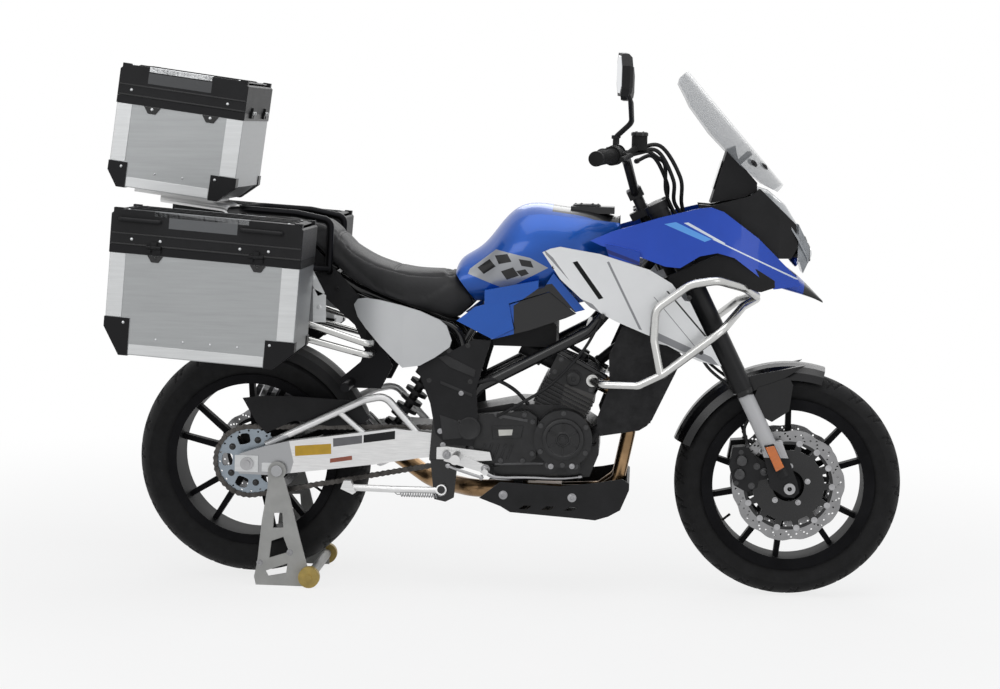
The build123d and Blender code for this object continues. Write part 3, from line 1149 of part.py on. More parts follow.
# ---- run -------------------------------------------------------------------
make_wheels()
make_chain()
make_swingarm()
make_rear_caliper()
make_frame()
make_subframe()
make_engine()
make_airbox()
make_radiator()
make_exhaust()
make_skid_plate()
make_shock()
make_rear_hugger()
make_tank()
make_seat()
make_side_panels()
make_frame_covers()
make_shrouds()
make_fairing()
make_nose_cowl()
make_lamps()
make_windscreen()
make_instruments()
make_crash_bars()
make_racks()
make_pannier("left", -1)
make_pannier("right", 1)
make_top_case()
make_foot_controls()
make_side_stand()
make_paddock_stand()
make_plate_bracket()
make_fork()
make_handlebar()
make_hand_controls()
make_mirrors()
make_front_fender()
make_front_calipers()
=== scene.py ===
import math

import bmesh
import bpy
from mathutils import Matrix, Vector
from mathutils.kdtree import KDTree


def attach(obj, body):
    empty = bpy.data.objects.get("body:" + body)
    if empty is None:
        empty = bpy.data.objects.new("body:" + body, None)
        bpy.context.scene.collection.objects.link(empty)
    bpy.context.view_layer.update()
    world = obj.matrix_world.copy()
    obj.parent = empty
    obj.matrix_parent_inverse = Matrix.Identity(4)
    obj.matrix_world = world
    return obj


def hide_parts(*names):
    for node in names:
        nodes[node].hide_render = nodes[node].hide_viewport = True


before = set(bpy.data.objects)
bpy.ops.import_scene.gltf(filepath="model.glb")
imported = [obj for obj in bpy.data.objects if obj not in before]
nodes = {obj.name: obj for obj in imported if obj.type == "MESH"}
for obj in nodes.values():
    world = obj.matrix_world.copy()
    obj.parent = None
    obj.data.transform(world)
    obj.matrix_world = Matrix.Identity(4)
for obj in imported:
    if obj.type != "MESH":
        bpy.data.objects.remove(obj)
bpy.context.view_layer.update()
scene = bpy.context.scene
scene.view_settings.view_transform = "Standard"


# ---- camera and light, lengths in metres ---------------------------------------
CAMERA_AT = (0.3405, -5.962, 1.2258)
YAW, PITCH, ROLL = (math.radians(a) for a in (3.52, 5.56, 1.43))
LENS_MM, SENSOR_MM, SIGHT = 80.65, 36, 100


def aim(yaw, pitch, roll):
    """Rotation matrix of a camera that looks along +Y, turned by yaw, down by pitch and rolled."""
    ahead = Vector((-math.sin(yaw) * math.cos(pitch), math.cos(yaw) * math.cos(pitch), -math.sin(pitch)))
    right = Vector((math.cos(yaw), math.sin(yaw), 0))
    up = right.cross(ahead)
    side = right * math.cos(roll) + up * math.sin(roll)
    top = up * math.cos(roll) - right * math.sin(roll)
    return Matrix((side, top, -ahead)).transposed()


def link_new(name, data):
    obj = bpy.data.objects.new(name, data)
    scene.collection.objects.link(obj)
    return obj


camera = link_new("camera", bpy.data.cameras.new("camera"))
camera.data.sensor_width = SENSOR_MM
camera.data.lens = LENS_MM
camera.data.clip_end = SIGHT
camera.rotation_euler = aim(YAW, PITCH, ROLL).to_euler()
camera.location = CAMERA_AT
scene.camera = camera

# area lights: place, target, size, watts
for name, at, target, size, power in (
        ("overhead", (0.2, -0.6, 4.2), (0, 0, 0.6), (4.5, 3.2), 78),
        ("key", (-2.6, -4.4, 2.9), (0, 0, 0.6), (2.6, 1.8), 42),
        ("fill", (3.8, -3.6, 1.6), (0.2, 0, 0.6), (2.0, 2.4), 20),
        ("back", (0.5, 4.0, 3.0), (0, 0, 0.7), (3.6, 1.6), 45)):
    light = link_new(name, bpy.data.lights.new(name, "AREA"))
    light.data.shape = "RECTANGLE"
    light.data.size, light.data.size_y = size
    light.data.energy = power
    light.location = at
    light.rotation_euler = (Vector(target) - Vector(at)).to_track_quat("-Z", "Y").to_euler()


# ---- shader nodes --------------------------------------------------------------
def put(tree, made, values):
    """Sets a node's inputs by name or number; a socket given as the value is linked."""
    for key, value in values.items():
        if isinstance(value, bpy.types.NodeSocket):
            tree.links.new(value, made.inputs[key])
        else:
            made.inputs[key].default_value = value


def node(tree, kind, values, **settings):
    """New node with its settings and inputs."""
    made = tree.nodes.new("ShaderNode" + kind)
    for key, value in settings.items():
        setattr(made, key, value)
    put(tree, made, values)
    return made


def calc(tree, kind, *values):
    """Maths node on numbers and sockets."""
    return node(tree, "Math", dict(enumerate(values)), operation=kind).outputs[0]


def plain_rays(tree):
    """Share that is 1 for the rays that see the backdrop itself: camera, mirror and glass rays."""
    path = node(tree, "LightPath", {}).outputs
    first = calc(tree, "MAXIMUM", path["Is Camera Ray"], path["Is Glossy Ray"])
    return calc(tree, "MAXIMUM", first, path["Is Transmission Ray"])


world = bpy.data.worlds.new("studio")
scene.world = world
world.use_nodes = True
sky = world.node_tree
sky.nodes.clear()
dim = node(sky, "Background", {"Color": (0.92, 0.94, 0.97, 1), "Strength": 0.30})
white = node(sky, "Background", {"Color": (1, 1, 1, 1), "Strength": 1.0})
mix = node(sky, "MixShader", {})
put(sky, mix, {0: plain_rays(sky), 1: dim.outputs[0], 2: white.outputs[0]})
node(sky, "OutputWorld", {"Surface": mix.outputs[0]})

# ---- materials -----------------------------------------------------------------
RAMP_STOPS = (0.32, 0.70)          # span of the noise in which the mottled colour changes
ROUGH_SPREAD = 0.1                 # share by which the gloss is uneven
BUMP_DISTANCE = 0.0006


def shade(name, color, rough, metal, vary, scale, grain, coat=0.0, coat_rough=0.05, specular=0.5, alpha=1.0,
          stretch=(1, 1, 1)):
    """Material with mottled colour, uneven gloss and a fine grain, all from object coordinates."""
    material = bpy.data.materials.new(name)
    material.use_nodes = True
    t = material.node_tree
    where = node(t, "TexCoord", {}).outputs["Object"]
    where = node(t, "Mapping", {"Vector": where, "Scale": stretch}).outputs[0]
    patch = node(t, "TexNoise", {"Vector": where, "Scale": scale, "Detail": 6,
                                 "Roughness": 0.6}).outputs["Fac"]
    ramp = node(t, "ValToRGB", {0: patch})
    low = [max(0.0, c * (1 - vary)) for c in color]
    high = [min(1.0, c * (1 + vary) + 0.01 * vary) for c in color]
    for stop, position, tint in zip(ramp.color_ramp.elements, RAMP_STOPS, (low, high)):
        stop.position = position
        stop.color = (*tint, 1)
    gloss = node(t, "MapRange", {"Value": patch, "To Min": max(0.02, rough * (1 - ROUGH_SPREAD)),
                                 "To Max": min(1.0, rough * (1 + ROUGH_SPREAD))})
    fine = node(t, "TexNoise", {"Vector": where, "Scale": grain[0], "Detail": 3})
    bump = node(t, "Bump", {"Strength": grain[1], "Distance": BUMP_DISTANCE, "Height": fine.outputs["Fac"]})
    put(t, t.nodes["Principled BSDF"], {
        "Base Color": ramp.outputs[0], "Roughness": gloss.outputs[0], "Normal": bump.outputs[0],
        "Metallic": metal, "Specular IOR Level": specular, "Coat Weight": coat, "Coat Roughness": coat_rough,
        "Alpha": alpha})
    return material


# colour, roughness, metal, mottling and its scale, grain (scale, strength), and what else it has
MATERIALS = {
    "blue": ((0.003, 0.082, 0.42), 0.36, 0.35, 0.08, 5, (2600, 0.1),
        dict(coat=0.45, coat_rough=0.04, specular=0.3)),
    "flank_blue": ((0.002, 0.054, 0.44), 0.36, 0.35, 0.08, 5, (2600, 0.1),
        dict(coat=0.45, coat_rough=0.04, specular=0.3)),
    "silver": ((0.49, 0.5, 0.51), 0.36, 0.6, 0.05, 4, (2600, 0.12), dict(coat=0.4, coat_rough=0.08)),
    "pale_silver": ((0.78, 0.79, 0.8), 0.36, 0.5, 0.05, 4, (2600, 0.12), dict(coat=0.4, coat_rough=0.08)),
    "black_paint": ((0.01, 0.01, 0.011), 0.2, 0, 0.25, 14, (700, 0.06), dict(specular=0.45)),
    "satin_black": ((0.01, 0.01, 0.011), 0.42, 0, 0.25, 14, (900, 0.15), dict(specular=0.22)),
    "black_plastic": ((0.011, 0.011, 0.012), 0.52, 0, 0.2, 16, (1400, 0.35), dict(specular=0.2)),
    "gloss_black": ((0.004, 0.004, 0.005), 0.22, 0, 0.3, 10, (600, 0.03), dict(specular=0.35)),
    "wheel_black": ((0.006, 0.006, 0.007), 0.48, 0, 0.3, 12, (900, 0.1), dict(specular=0.06)),
    "casting": ((0.01, 0.01, 0.011), 0.34, 0.2, 0.35, 30, (1100, 0.6), dict(specular=0.45)),
    "fins": ((0.017, 0.017, 0.018), 0.5, 0.5, 0.3, 40, (1500, 0.3), dict(specular=0.25)),
    "headers": ((0.3, 0.19, 0.1), 0.28, 1.0, 0.45, 11, (500, 0.06), {}),
    "brushed": ((0.7, 0.7, 0.7), 0.34, 0.9, 0.08, 30, (260, 0.3), dict(stretch=(1, 12, 14))),
    "sheet": ((0.36, 0.37, 0.375), 0.4, 0.75, 0.06, 9, (160, 0.22), dict(stretch=(0.7, 0.7, 12))),
    "stainless": ((0.54, 0.54, 0.53), 0.24, 1.0, 0.06, 14, (500, 0.05), {}),
    "chrome": ((0.66, 0.67, 0.68), 0.1, 1.0, 0.05, 12, (500, 0.02), {}),
    "steel": ((0.38, 0.38, 0.39), 0.3, 1.0, 0.15, 25, (700, 0.15), {}),
    "chain": ((0.075, 0.07, 0.066), 0.38, 0.9, 0.35, 60, (900, 0.2), {}),
    "stand_grey": ((0.46, 0.46, 0.445), 0.45, 0, 0.1, 18, (900, 0.25), {}),
    "castor": ((0.5, 0.36, 0.1), 0.5, 0, 0.25, 30, (900, 0.25), {}),
    "rubber": ((0.0085, 0.0085, 0.009), 0.68, 0, 0.35, 30, (1300, 0.5), dict(specular=0.18)),
    "leather": ((0.012, 0.012, 0.013), 0.55, 0, 0.22, 20, (1000, 0.6), dict(specular=0.28)),
    "amber": ((0.72, 0.17, 0.01), 0.12, 0, 0.1, 60, (900, 0.3), dict(coat=0.6)),
    "clear": ((0.36, 0.38, 0.4), 0.07, 0, 0.04, 4, (300, 0.01), dict(specular=0.45, alpha=0.3)),
    "lamp": ((0.33, 0.35, 0.37), 0.14, 0, 0.3, 16, (300, 0.05), dict(specular=0.35)),
    "visor": ((0.44, 0.46, 0.48), 0.12, 0, 0.1, 8, (300, 0.02), dict(specular=0.5)),
    "dark_grey": ((0.03, 0.03, 0.031), 0.45, 0, 0.2, 16, (1400, 0.3), dict(specular=0.22)),
    "clear_lens": ((0.55, 0.57, 0.6), 0.05, 0, 0.05, 20, (300, 0.01), dict(specular=0.6)),
    "display": ((0.006, 0.007, 0.009), 0.1, 0, 0.2, 20, (600, 0.02), dict(coat=0.5)),
    "label": ((0.72, 0.71, 0.66), 0.45, 0, 0.05, 40, (900, 0.1), {}),
    "yellow_label": ((0.66, 0.4, 0.03), 0.4, 0, 0.08, 40, (900, 0.1), {}),
    "grey_label": ((0.16, 0.16, 0.17), 0.4, 0, 0.08, 40, (900, 0.1), {}),
    "red_label": ((0.34, 0.1, 0.06), 0.4, 0, 0.1, 40, (900, 0.1), {}),
    "mirror_glass": ((0.6, 0.62, 0.65), 0.03, 1.0, 0.02, 4, (300, 0.01), {}),
    "disc_steel": ((0.27, 0.27, 0.275), 0.3, 1.0, 0.12, 30, (420, 0.2), {}),
    "anodised": ((0.26, 0.3, 0.34), 0.32, 0.9, 0.1, 20, (500, 0.12), {}),
    "thread": ((0.045, 0.045, 0.047), 0.7, 0, 0.2, 60, (2500, 0.5), dict(specular=0.2)),
    "trim": ((0.6, 0.61, 0.62), 0.28, 0.9, 0.06, 20, (300, 0.15), dict(stretch=(1, 1, 14))),
    "strip": ((0.6, 0.61, 0.615), 0.36, 0.8, 0.06, 12, (160, 0.15), dict(stretch=(0.7, 0.7, 12))),
    "rivet": ((0.5, 0.51, 0.52), 0.28, 1.0, 0.12, 60, (900, 0.1), {}),
    "plate_grey": ((0.2, 0.205, 0.21), 0.42, 0.6, 0.07, 18, (300, 0.2), dict(stretch=(1, 1, 14))),
    "bolt_steel": ((0.3, 0.3, 0.31), 0.32, 1.0, 0.15, 50, (900, 0.1), {}),
    "dark_bolt": ((0.07, 0.07, 0.072), 0.32, 1.0, 0.2, 50, (900, 0.1), {}),
    "hose": ((0.008, 0.008, 0.009), 0.5, 0, 0.3, 40, (1500, 0.35), dict(specular=0.25)),
    "floor": ((0.8, 0.8, 0.8), 0.8, 0, 0.02, 2, (60, 0.1), dict(specular=0.1)),
}
paint = {name: shade(name, *row, **more) for name, (*row, more) in MATERIALS.items()}


def dress(obj, look):
    """Gives an object one material."""
    obj.data.materials.clear()
    obj.data.materials.append(paint[look])


# ---- modelling helpers, lengths in millimetres -----------------------------------
MM = 0.001
TIP = 0.01                         # radius at which a turned form closes
SHARP_DEG, BEVEL_DEG = 40.0, 38
BOLT_SIDES, RIVET_SIDES = 18, 12
DOWN, UP, OUT, FORE = (0, 0, -1), (0, 0, 1), (0, -1, 0), (1, 0, 0)
MIRROR = Matrix.Diagonal((1, -1, 1, 1))
SIDES = (("left", -1, Matrix.Identity(4)), ("right", 1, MIRROR))


def polar(radius, angle, x=0.0, z=0.0):
    """Point at an angle in degrees round (x, z)."""
    return (x + radius * math.cos(math.radians(angle)), z + radius * math.sin(math.radians(angle)))


def circle(x, z, radius, count=16):
    return [polar(radius, 360 / count * k, x, z) for k in range(count)]


def centre_of(outline):
    return (sum(x for x, _ in outline) / len(outline), sum(z for _, z in outline) / len(outline))


def place(mesh, name, body, look, smooth=SHARP_DEG, bevel=0.0, stands_for=()):
    """Object in the scene from a mesh in millimetres, riding on a body."""
    obj = link_new(name, mesh)
    mesh.transform(Matrix.Scale(MM, 4))
    dress(obj, look)
    if smooth:
        mesh.shade_smooth()
        mesh.set_sharp_from_angle(angle=math.radians(smooth))
    if bevel:
        edge = obj.modifiers.new("edge", "BEVEL")
        edge.width = bevel * MM
        edge.segments = 2
        edge.limit_method = "ANGLE"
        edge.angle_limit = math.radians(BEVEL_DEG)
        edge.harden_normals = False
    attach(obj, body)
    if stands_for:
        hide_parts(*stands_for)
    return obj


class Shape:
    """Bmesh that gathers the parts of one piece."""

    def __init__(self):
        self.bm = bmesh.new()

    def ring(self, points):
        return [self.bm.verts.new(p) for p in points]

    def skin(self, rings, closed=True, caps=True):
        """Surface through rings of equally many points."""
        for a, b in zip(rings, rings[1:]):
            count = len(a)
            for i in range(count if closed else count - 1):
                j = (i + 1) % count
                self.bm.faces.new((a[i], a[j], b[j], b[i]))
        if caps:
            self.bm.faces.new(list(reversed(rings[0])))
            self.bm.faces.new(rings[-1])

    def sweep(self, points, radius, sides=12):
        """Round tube along points; radius is a number or one for each point."""
        points = [Vector(p) for p in points]
        last = len(points) - 1
        radii = radius if isinstance(radius, (list, tuple)) else [radius] * len(points)
        rings = []
        normal = None
        for i, point in enumerate(points):
            way = (points[min(i + 1, last)] - points[max(i - 1, 0)]).normalized()
            normal = way.orthogonal() if normal is None else normal - way * normal.dot(way)
            normal.normalize()
            other = way.cross(normal)
            rings.append(self.ring([point + (normal * math.cos(a) + other * math.sin(a)) * radii[i]
                                    for a in [2 * math.pi * k / sides for k in range(sides)]]))
        self.skin(rings)

    def lathe(self, profile, start, axis, sides=48):
        """Turned form: (radius, distance along the axis) points round an axis from start."""
        start, axis = Vector(start), Vector(axis).normalized()
        u = axis.orthogonal().normalized()
        v = axis.cross(u)
        made = []
        for k in range(sides):
            a = 2 * math.pi * k / sides
            out = u * math.cos(a) + v * math.sin(a)
            made.append(self.ring([start + axis * d + out * r for r, d in profile]))
        self.skin(made + made[:1], closed=False, caps=False)

    def prism(self, outline, y0, y1):
        """Side outline (x, z) from y0 to y1."""
        self.skin([self.ring([(x, y, z) for x, z in outline]) for y in (y0, y1)])

    def block(self, x0, x1, y0, y1, z0, z1):
        self.prism([(x0, z0), (x1, z0), (x1, z1), (x0, z1)], y0, y1)

    def bolt(self, at, axis, radius, head, socket=True):
        """Cap screw head with a washer, standing on a surface; with a hexagon socket or a round top."""
        profile = [(radius * 1.45, 0), (radius * 1.45, head * 0.22), (radius, head * 0.24),
                   (radius, head * 0.9), (radius * 0.9, head)]
        if socket:
            profile += [(radius * 0.55, head), (radius * 0.5, head * 0.45), (TIP, head * 0.42)]
        else:
            profile += [(radius * 0.45, head * 1.12), (TIP, head * 1.16)]
        self.lathe(profile, at, axis, BOLT_SIDES)

    def rivet(self, at, axis, radius):
        self.lathe([(radius, 0), (radius * 0.92, radius * 0.28), (radius * 0.6, radius * 0.5),
                    (TIP, radius * 0.58)], at, axis, RIVET_SIDES)

    def flip(self):
        """Adds the mirror image across the middle plane."""
        faces = list(self.bm.faces)
        twin = {}
        for face in faces:
            for v in face.verts:
                if v not in twin:
                    twin[v] = self.bm.verts.new((v.co.x, -v.co.y, v.co.z))
        for face in faces:
            self.bm.faces.new([twin[v] for v in reversed(face.verts)])

    def mesh(self, name):
        """The gathered mesh, its faces turned outward."""
        self.bm.normal_update()
        bmesh.ops.recalc_face_normals(self.bm, faces=self.bm.faces)
        mesh = bpy.data.meshes.new(name)
        self.bm.to_mesh(mesh)
        self.bm.free()
        return mesh

    def done(self, name, look, body="chassis", turn=None, **options):
        """Puts the piece in the scene, moved by a matrix where one is given."""
        mesh = self.mesh(name)
        if turn is not None:
            mesh.transform(turn)
            if turn.determinant() < 0:
                mesh.flip_normals()
        return place(mesh, name, body, look, **options)


def piece(name, look, prisms=(), lathes=(), bolts=(), twin=False, **options):
    """Piece of side outlines (outline, y0, y1), turned forms and bolts; twin adds the other side."""
    shape = Shape()
    for values in prisms:
        shape.prism(*values)
    for values in lathes:
        shape.lathe(*values)
    for values in bolts:
        shape.bolt(*values)
    if twin:
        shape.flip()
    return shape.done(name, look, **options)


def hose(name, points, radius, look="hose", body="chassis", ends=None):
    """Hose or cable on a smooth line, with a clamp or crimp at each end."""
    shape = Shape()
    path = smooth_path(points, 10)
    shape.sweep(path, radius, 14)
    if ends:
        for a, b in ((path[0], path[1]), (path[-1], path[-2])):
            way = (b - a).normalized()
            crimp = [(radius, 0), (radius + ends, 0), (radius + ends, 7), (radius, 7)]
            shape.lathe(crimp, a + way * 3, way, 18)
    return shape.done(name, look, body)


def smooth_between(p, q, r, s, t):
    """Catmull-Rom value between q and r."""
    return 0.5 * ((2 * q) + (r - p) * t + (2 * p - 5 * q + 4 * r - s) * t * t
                  + (3 * q - p - 3 * r + s) * t ** 3)


def smooth_path(points, step=8):
    """Points of a smooth line through the given ones, step to each span."""
    points = [Vector(p) for p in points]
    padded = [points[0] * 2 - points[1]] + points + [points[-1] * 2 - points[-2]]
    out = [smooth_between(*four, k / step) for four in zip(padded, padded[1:], padded[2:], padded[3:])
           for k in range(step)]
    return out + [points[-1]]


def plate_mesh(loops, thick, edge, y=0.0):
    """Flat plate in the X-Z plane, centred on y, from an outline and holes, with rounded edges."""
    curve = bpy.data.curves.new("plate", "CURVE")
    curve.dimensions = "2D"
    curve.fill_mode = "BOTH"
    curve.extrude = max(thick / 2 - edge, 0.001)
    curve.bevel_depth = edge
    curve.bevel_resolution = 1
    curve.offset = -edge
    for loop in loops:
        spline = curve.splines.new("POLY")
        spline.points.add(len(loop) - 1)
        for point, (x, z) in zip(spline.points, loop):
            point.co = (x, z, 0, 1)
        spline.use_cyclic_u = True
    holder = link_new("plate", curve)
    mesh = bpy.data.meshes.new_from_object(holder.evaluated_get(bpy.context.evaluated_depsgraph_get()))
    bpy.data.objects.remove(holder)
    bpy.data.curves.remove(curve)
    mesh.transform(Matrix(((1, 0, 0, 0), (0, 0, -1, 0), (0, 1, 0, 0), (0, 0, 0, 1))))
    mesh.transform(Matrix.Translation((0, y, 0)))
    return mesh


# ---- tyres -----------------------------------------------------------------------
FRONT, REAR = (750.0, 300.0), (-680.0, 322.0)
BEAD_R = 218.0
CROWN_DEG, CROWN_STEPS, TURN_STEPS = 80, 34, 640
SHOULDER_DROP, GROOVE_DEPTH = 36, 4.2
# road grooves: shift in turns, side, inner and outer share of the half width, slope, width
GROOVES = [(shift + flip, side, *rest) for shift, *rest in (
    (0.0, 0.10, 0.86, 0.30, 0.050), (0.28, 0.36, 0.80, -0.42, 0.040), (0.62, 0.50, 0.92, 0.22, 0.036))
    for flip, side in ((0.0, 1), (0.5, -1))]


def tread_depth(turn, across, pairs):
    """Depth share of the sweeping road grooves at an angle (turns) and a share of the half width."""
    depth = 0.0
    for shift, side, inner, outer, slope, width in GROOVES:
        share = across * side
        if inner < share < outer:
            along = (turn * pairs + shift - slope * (share - inner) / (outer - inner)) % 1.0
            near = min(along, 1.0 - along)
            ends = min(1.0, (share - inner) / 0.05, (outer - share) / 0.05)
            depth = max(depth, ends * max(0.0, 1.0 - (near / width) ** 4))
    return depth


def make_tyre(name, centre, outer_r, width, body, pairs):
    """Tyre with its tread; pairs is how many times the grooves repeat round it."""
    shape = Shape()
    half = width / 2
    bead = half * 0.80 - 4
    edge = [(BEAD_R + 0.4, bead), (BEAD_R + 7, bead + 3.5), (BEAD_R + 10, bead + 2.4)]
    crown = math.radians(CROWN_DEG)
    profile = [(r, -y) for r, y in edge]
    for k in range(CROWN_STEPS + 1):
        angle = (-1 + 2 * k / CROWN_STEPS) * crown
        profile.append((outer_r - SHOULDER_DROP * (1 - math.cos(angle)) / (1 - math.cos(crown)),
                        half * 0.985 * math.sin(angle) / math.sin(crown)))
    profile += reversed(edge)
    last = len(profile) - 1
    rows = []
    for k in range(TURN_STEPS):
        a = 2 * math.pi * k / TURN_STEPS
        row = []
        for i, (r, y) in enumerate(profile):
            depth = GROOVE_DEPTH * tread_depth(k / TURN_STEPS, y / half, pairs) if 2 < i < last - 2 else 0.0
            rib = 0.5 if i in (1, 2, last - 1, last - 2) and (k // 4) % 2 else 0.0
            reach = r - depth - rib
            row.append((centre[0] + reach * math.cos(a), y * (1 - depth * 0.004),
                        centre[1] + reach * math.sin(a)))
        rows.append(shape.ring(row))
    shape.skin(rows + rows[:1], caps=False)
    shape.done(name + "_treaded", "rubber", body, smooth=32, stands_for=(name,))


make_tyre("front_tyre", FRONT, 300, 118, "front_wheel", 26)
make_tyre("rear_tyre", REAR, 312, 158, "rear_wheel", 24)


# ---- brake discs -------------------------------------------------------------------
def wave_ring(centre, outer_r, lobes, dip):
    """Outline of a disc's edge with a dip between one lobe and the next."""
    count = lobes * 10
    ring = []
    for k in range(count):
        part = (lobes * k / count) % 1.0
        low = 0.5 - 0.5 * math.cos(2 * math.pi * min(1.0, max(0.0, (part - 0.34) / 0.66)))
        ring.append(polar(outer_r - dip * low, 360 / count * k, *centre))
    return ring


def make_disc(name, centre, y, outer_r, inner_r, carrier_r, lobes, arms, body, cad_node):
    """Drilled wave disc; returns the mesh of its carrier with slim arms, and the floating buttons' places."""
    step = 360 / (arms * 8)
    loops = [wave_ring(centre, outer_r, lobes, 5),
             [polar(inner_r - (4 if k % 8 in (0, 1, 7) else 0), step * k, *centre) for k in range(arms * 8)]]
    holes = lobes * 4
    for k in range(holes):
        for row, share in enumerate((0.25, 0.55, 0.80)):
            if (k + row) % 2 == 0 or row == 1:
                reach = inner_r + (outer_r - 5 - inner_r) * share
                loops.append(circle(*polar(reach, 360 / holes * (k + 0.3 * row), *centre), 2.6, 8))
    place(plate_mesh(loops, 5.0, 0.4, y), name + "_ring", body, "disc_steel", stands_for=(cad_node,))
    loops = [circle(*centre, carrier_r + 6, 60), circle(*centre, 41.5, 40)]
    for k in range(arms):
        loops.append([polar(r, 360 / arms * (k + part), *centre) for r, part in (
            (carrier_r - 17, 0.22), (carrier_r - 17, 0.78), (carrier_r - 1, 0.86), (carrier_r - 1, 0.14))])
    return plate_mesh(loops, 6.4, 0.6, y), [polar(inner_r - 2, 360 / arms * k, *centre) for k in range(arms)]


FRONT_BUTTON = [(8.5, 0), (8.5, 2.2), (6.2, 2.6), (3.0, 1.4), (TIP, 1.4)]
REAR_BUTTON = [(6.5, 0), (6.5, 2.0), (4.2, 2.4), (TIP, 1.4)]
for tag, side, _ in SIDES:
    carrier, buttons = make_disc(f"front_disc_{tag}", FRONT, side * 64.0, 148.5, 117, 112, 10, 14,
                                 "front_wheel", "front_discs")
    place(carrier, f"front_disc_carrier_{tag}", "front_wheel", "black_paint")
    way = (0, side, 0)
    spots = [polar(52, 72 * k + 14, *FRONT) for k in range(5)]
    piece(f"front_disc_buttons_{tag}", "steel", body="front_wheel",
          lathes=[(FRONT_BUTTON, (x, side * 66.4, z), way, 16) for x, z in buttons],
          bolts=[((x, side * 67.0, z), way, 5.2, 4.5) for x, z in spots])

carrier, buttons = make_disc("rear_disc", REAR, 92.0, 120, 96, 91, 8, 8, "rear_wheel",
                             "rear_disc_and_sprocket")
place(carrier, "rear_disc_carrier", "rear_wheel", "satin_black")
spots = [polar(32, 72 * k, *REAR) for k in range(5)]
piece("rear_disc_buttons", "steel", body="rear_wheel",
      lathes=[(REAR_BUTTON, (x, 94.2, z), (0, 1, 0), 16) for x, z in buttons],
      bolts=[((x, 95.0, z), (0, 1, 0), 5.0, 4.5) for x, z in spots])

# ---- sprocket and chain ---------------------------------------------------------
CHAIN_Y, REAR_PITCH_R, FRONT_PITCH_R = -98.0, 92.0, 38.0
GEARBOX = (-45.0, 395.0)
TEETH, LINKS = 36, 112
TOOTH = ((0.0, -4.6), (0.14, -4.3), (0.26, -2.4), (0.36, 0.8), (0.44, 2.7), (0.5, 3.0), (0.56, 2.7),
         (0.64, 0.8), (0.74, -2.4), (0.86, -4.3))
WINDOW = ((71, -14), (74.5, -9), (75.5, 0), (74.5, 9), (71, 14), (54, 17), (49, 14), (46.5, 0), (49, -14),
          (54, -17))

loops = [[polar(REAR_PITCH_R + radius, (tooth + part) * 360 / TEETH, *REAR)
          for tooth in range(TEETH) for part, radius in TOOTH], circle(*REAR, 22.5, 40)]
loops += [[polar(r, 72 * k + 34 + a, *REAR) for r, a in WINDOW] for k in range(5)]
loops += [circle(*polar(81, 18 * k + 3, *REAR), 2.6, 10) for k in range(20)]
place(plate_mesh(loops, 6.0, 0.5, CHAIN_Y), "sprocket", "rear_wheel", "anodised",
      stands_for=("rear_disc_and_sprocket",))
shape = Shape()
for k in range(5):
    x, z = polar(60, 72 * k - 2, *REAR)
    shape.bolt((x, CHAIN_Y - 3.0, z), OUT, 6.2, 4.6, socket=False)
    shape.prism(circle(x, z, 11, 6), CHAIN_Y + 3, -52)
shape.lathe([(44, 0), (44, 4), (38, 6.5), (24, 7), (24, 0)], (REAR[0], CHAIN_Y + 9.6, REAR[1]), OUT, 48)
shape.done("sprocket_carrier", "black_paint", "rear_wheel")


def pitch_line(count):
    """Evenly spaced points on the chain's pitch line, and whether each lies on a straight run."""
    gap = Vector((GEARBOX[0] - REAR[0], GEARBOX[1] - REAR[1]))
    lean = math.degrees(math.atan2(gap.y, gap.x))
    run = math.sqrt(gap.length ** 2 - (REAR_PITCH_R - FRONT_PITCH_R) ** 2)
    spread = math.degrees(math.atan2(run, REAR_PITCH_R - FRONT_PITCH_R))
    nose = math.radians(2 * spread) * FRONT_PITCH_R
    tail = math.radians(360 - 2 * spread) * REAR_PITCH_R
    made = []
    for k in range(count):
        d = (2 * run + nose + tail) * k / count
        free = False
        if d < run or run + nose <= d < 2 * run + nose:
            sign = 1 if d < run else -1
            share = d / run if d < run else 1 - (d - run - nose) / run
            a = Vector(polar(REAR_PITCH_R, lean + sign * spread, *REAR))
            b = Vector(polar(FRONT_PITCH_R, lean + sign * spread, *GEARBOX))
            at, free = a.lerp(b, share), 0.03 < share < 0.97
        elif d < run + nose:
            at = Vector(polar(FRONT_PITCH_R, lean + spread - math.degrees((d - run) / FRONT_PITCH_R),
                              *GEARBOX))
        else:
            turn = lean - spread - math.degrees((d - 2 * run - nose) / REAR_PITCH_R)
            at = Vector(polar(REAR_PITCH_R, turn, *REAR))
        made.append((at, free))
    return made


joints = pitch_line(LINKS)
shape = Shape()
for k, (start, free) in enumerate(joints):
    end = joints[(k + 1) % LINKS][0]
    along = end - start
    pitch = along.length
    along.normalize()
    across = Vector((-along.y, along.x))
    outline = []
    for centre, first, side in ((0.0, 90, -1), (pitch, -90, 1)):
        for step in range(7):
            a = math.radians(first + 30 * step)
            outline.append(start + along * (centre + 7.0 * math.cos(a)) + across * 7.0 * math.sin(a))
        outline.append(start + along * (pitch / 2) + across * side * 5.2)
    near, far = ((4.2, 6.2) if k % 2 else (6.5, 8.5))
    for sign in (-1, 1):
        shape.prism([tuple(p) for p in outline], CHAIN_Y + sign * near, CHAIN_Y + sign * far)
        if k % 2 == 0:
            for p in (start, end):
                shape.lathe([(2.7, 0), (2.5, 0.5), (TIP, 0.6)], (p.x, CHAIN_Y + sign * 8.4, p.y),
                            (0, sign, 0), 10)
    if free:
        shape.lathe([(4.4, -4.1), (4.4, 4.1)], (start.x, CHAIN_Y, start.y), (0, 1, 0), 14)
shape.done("chain_links", "chain", smooth=30, stands_for=("drive_chain",))

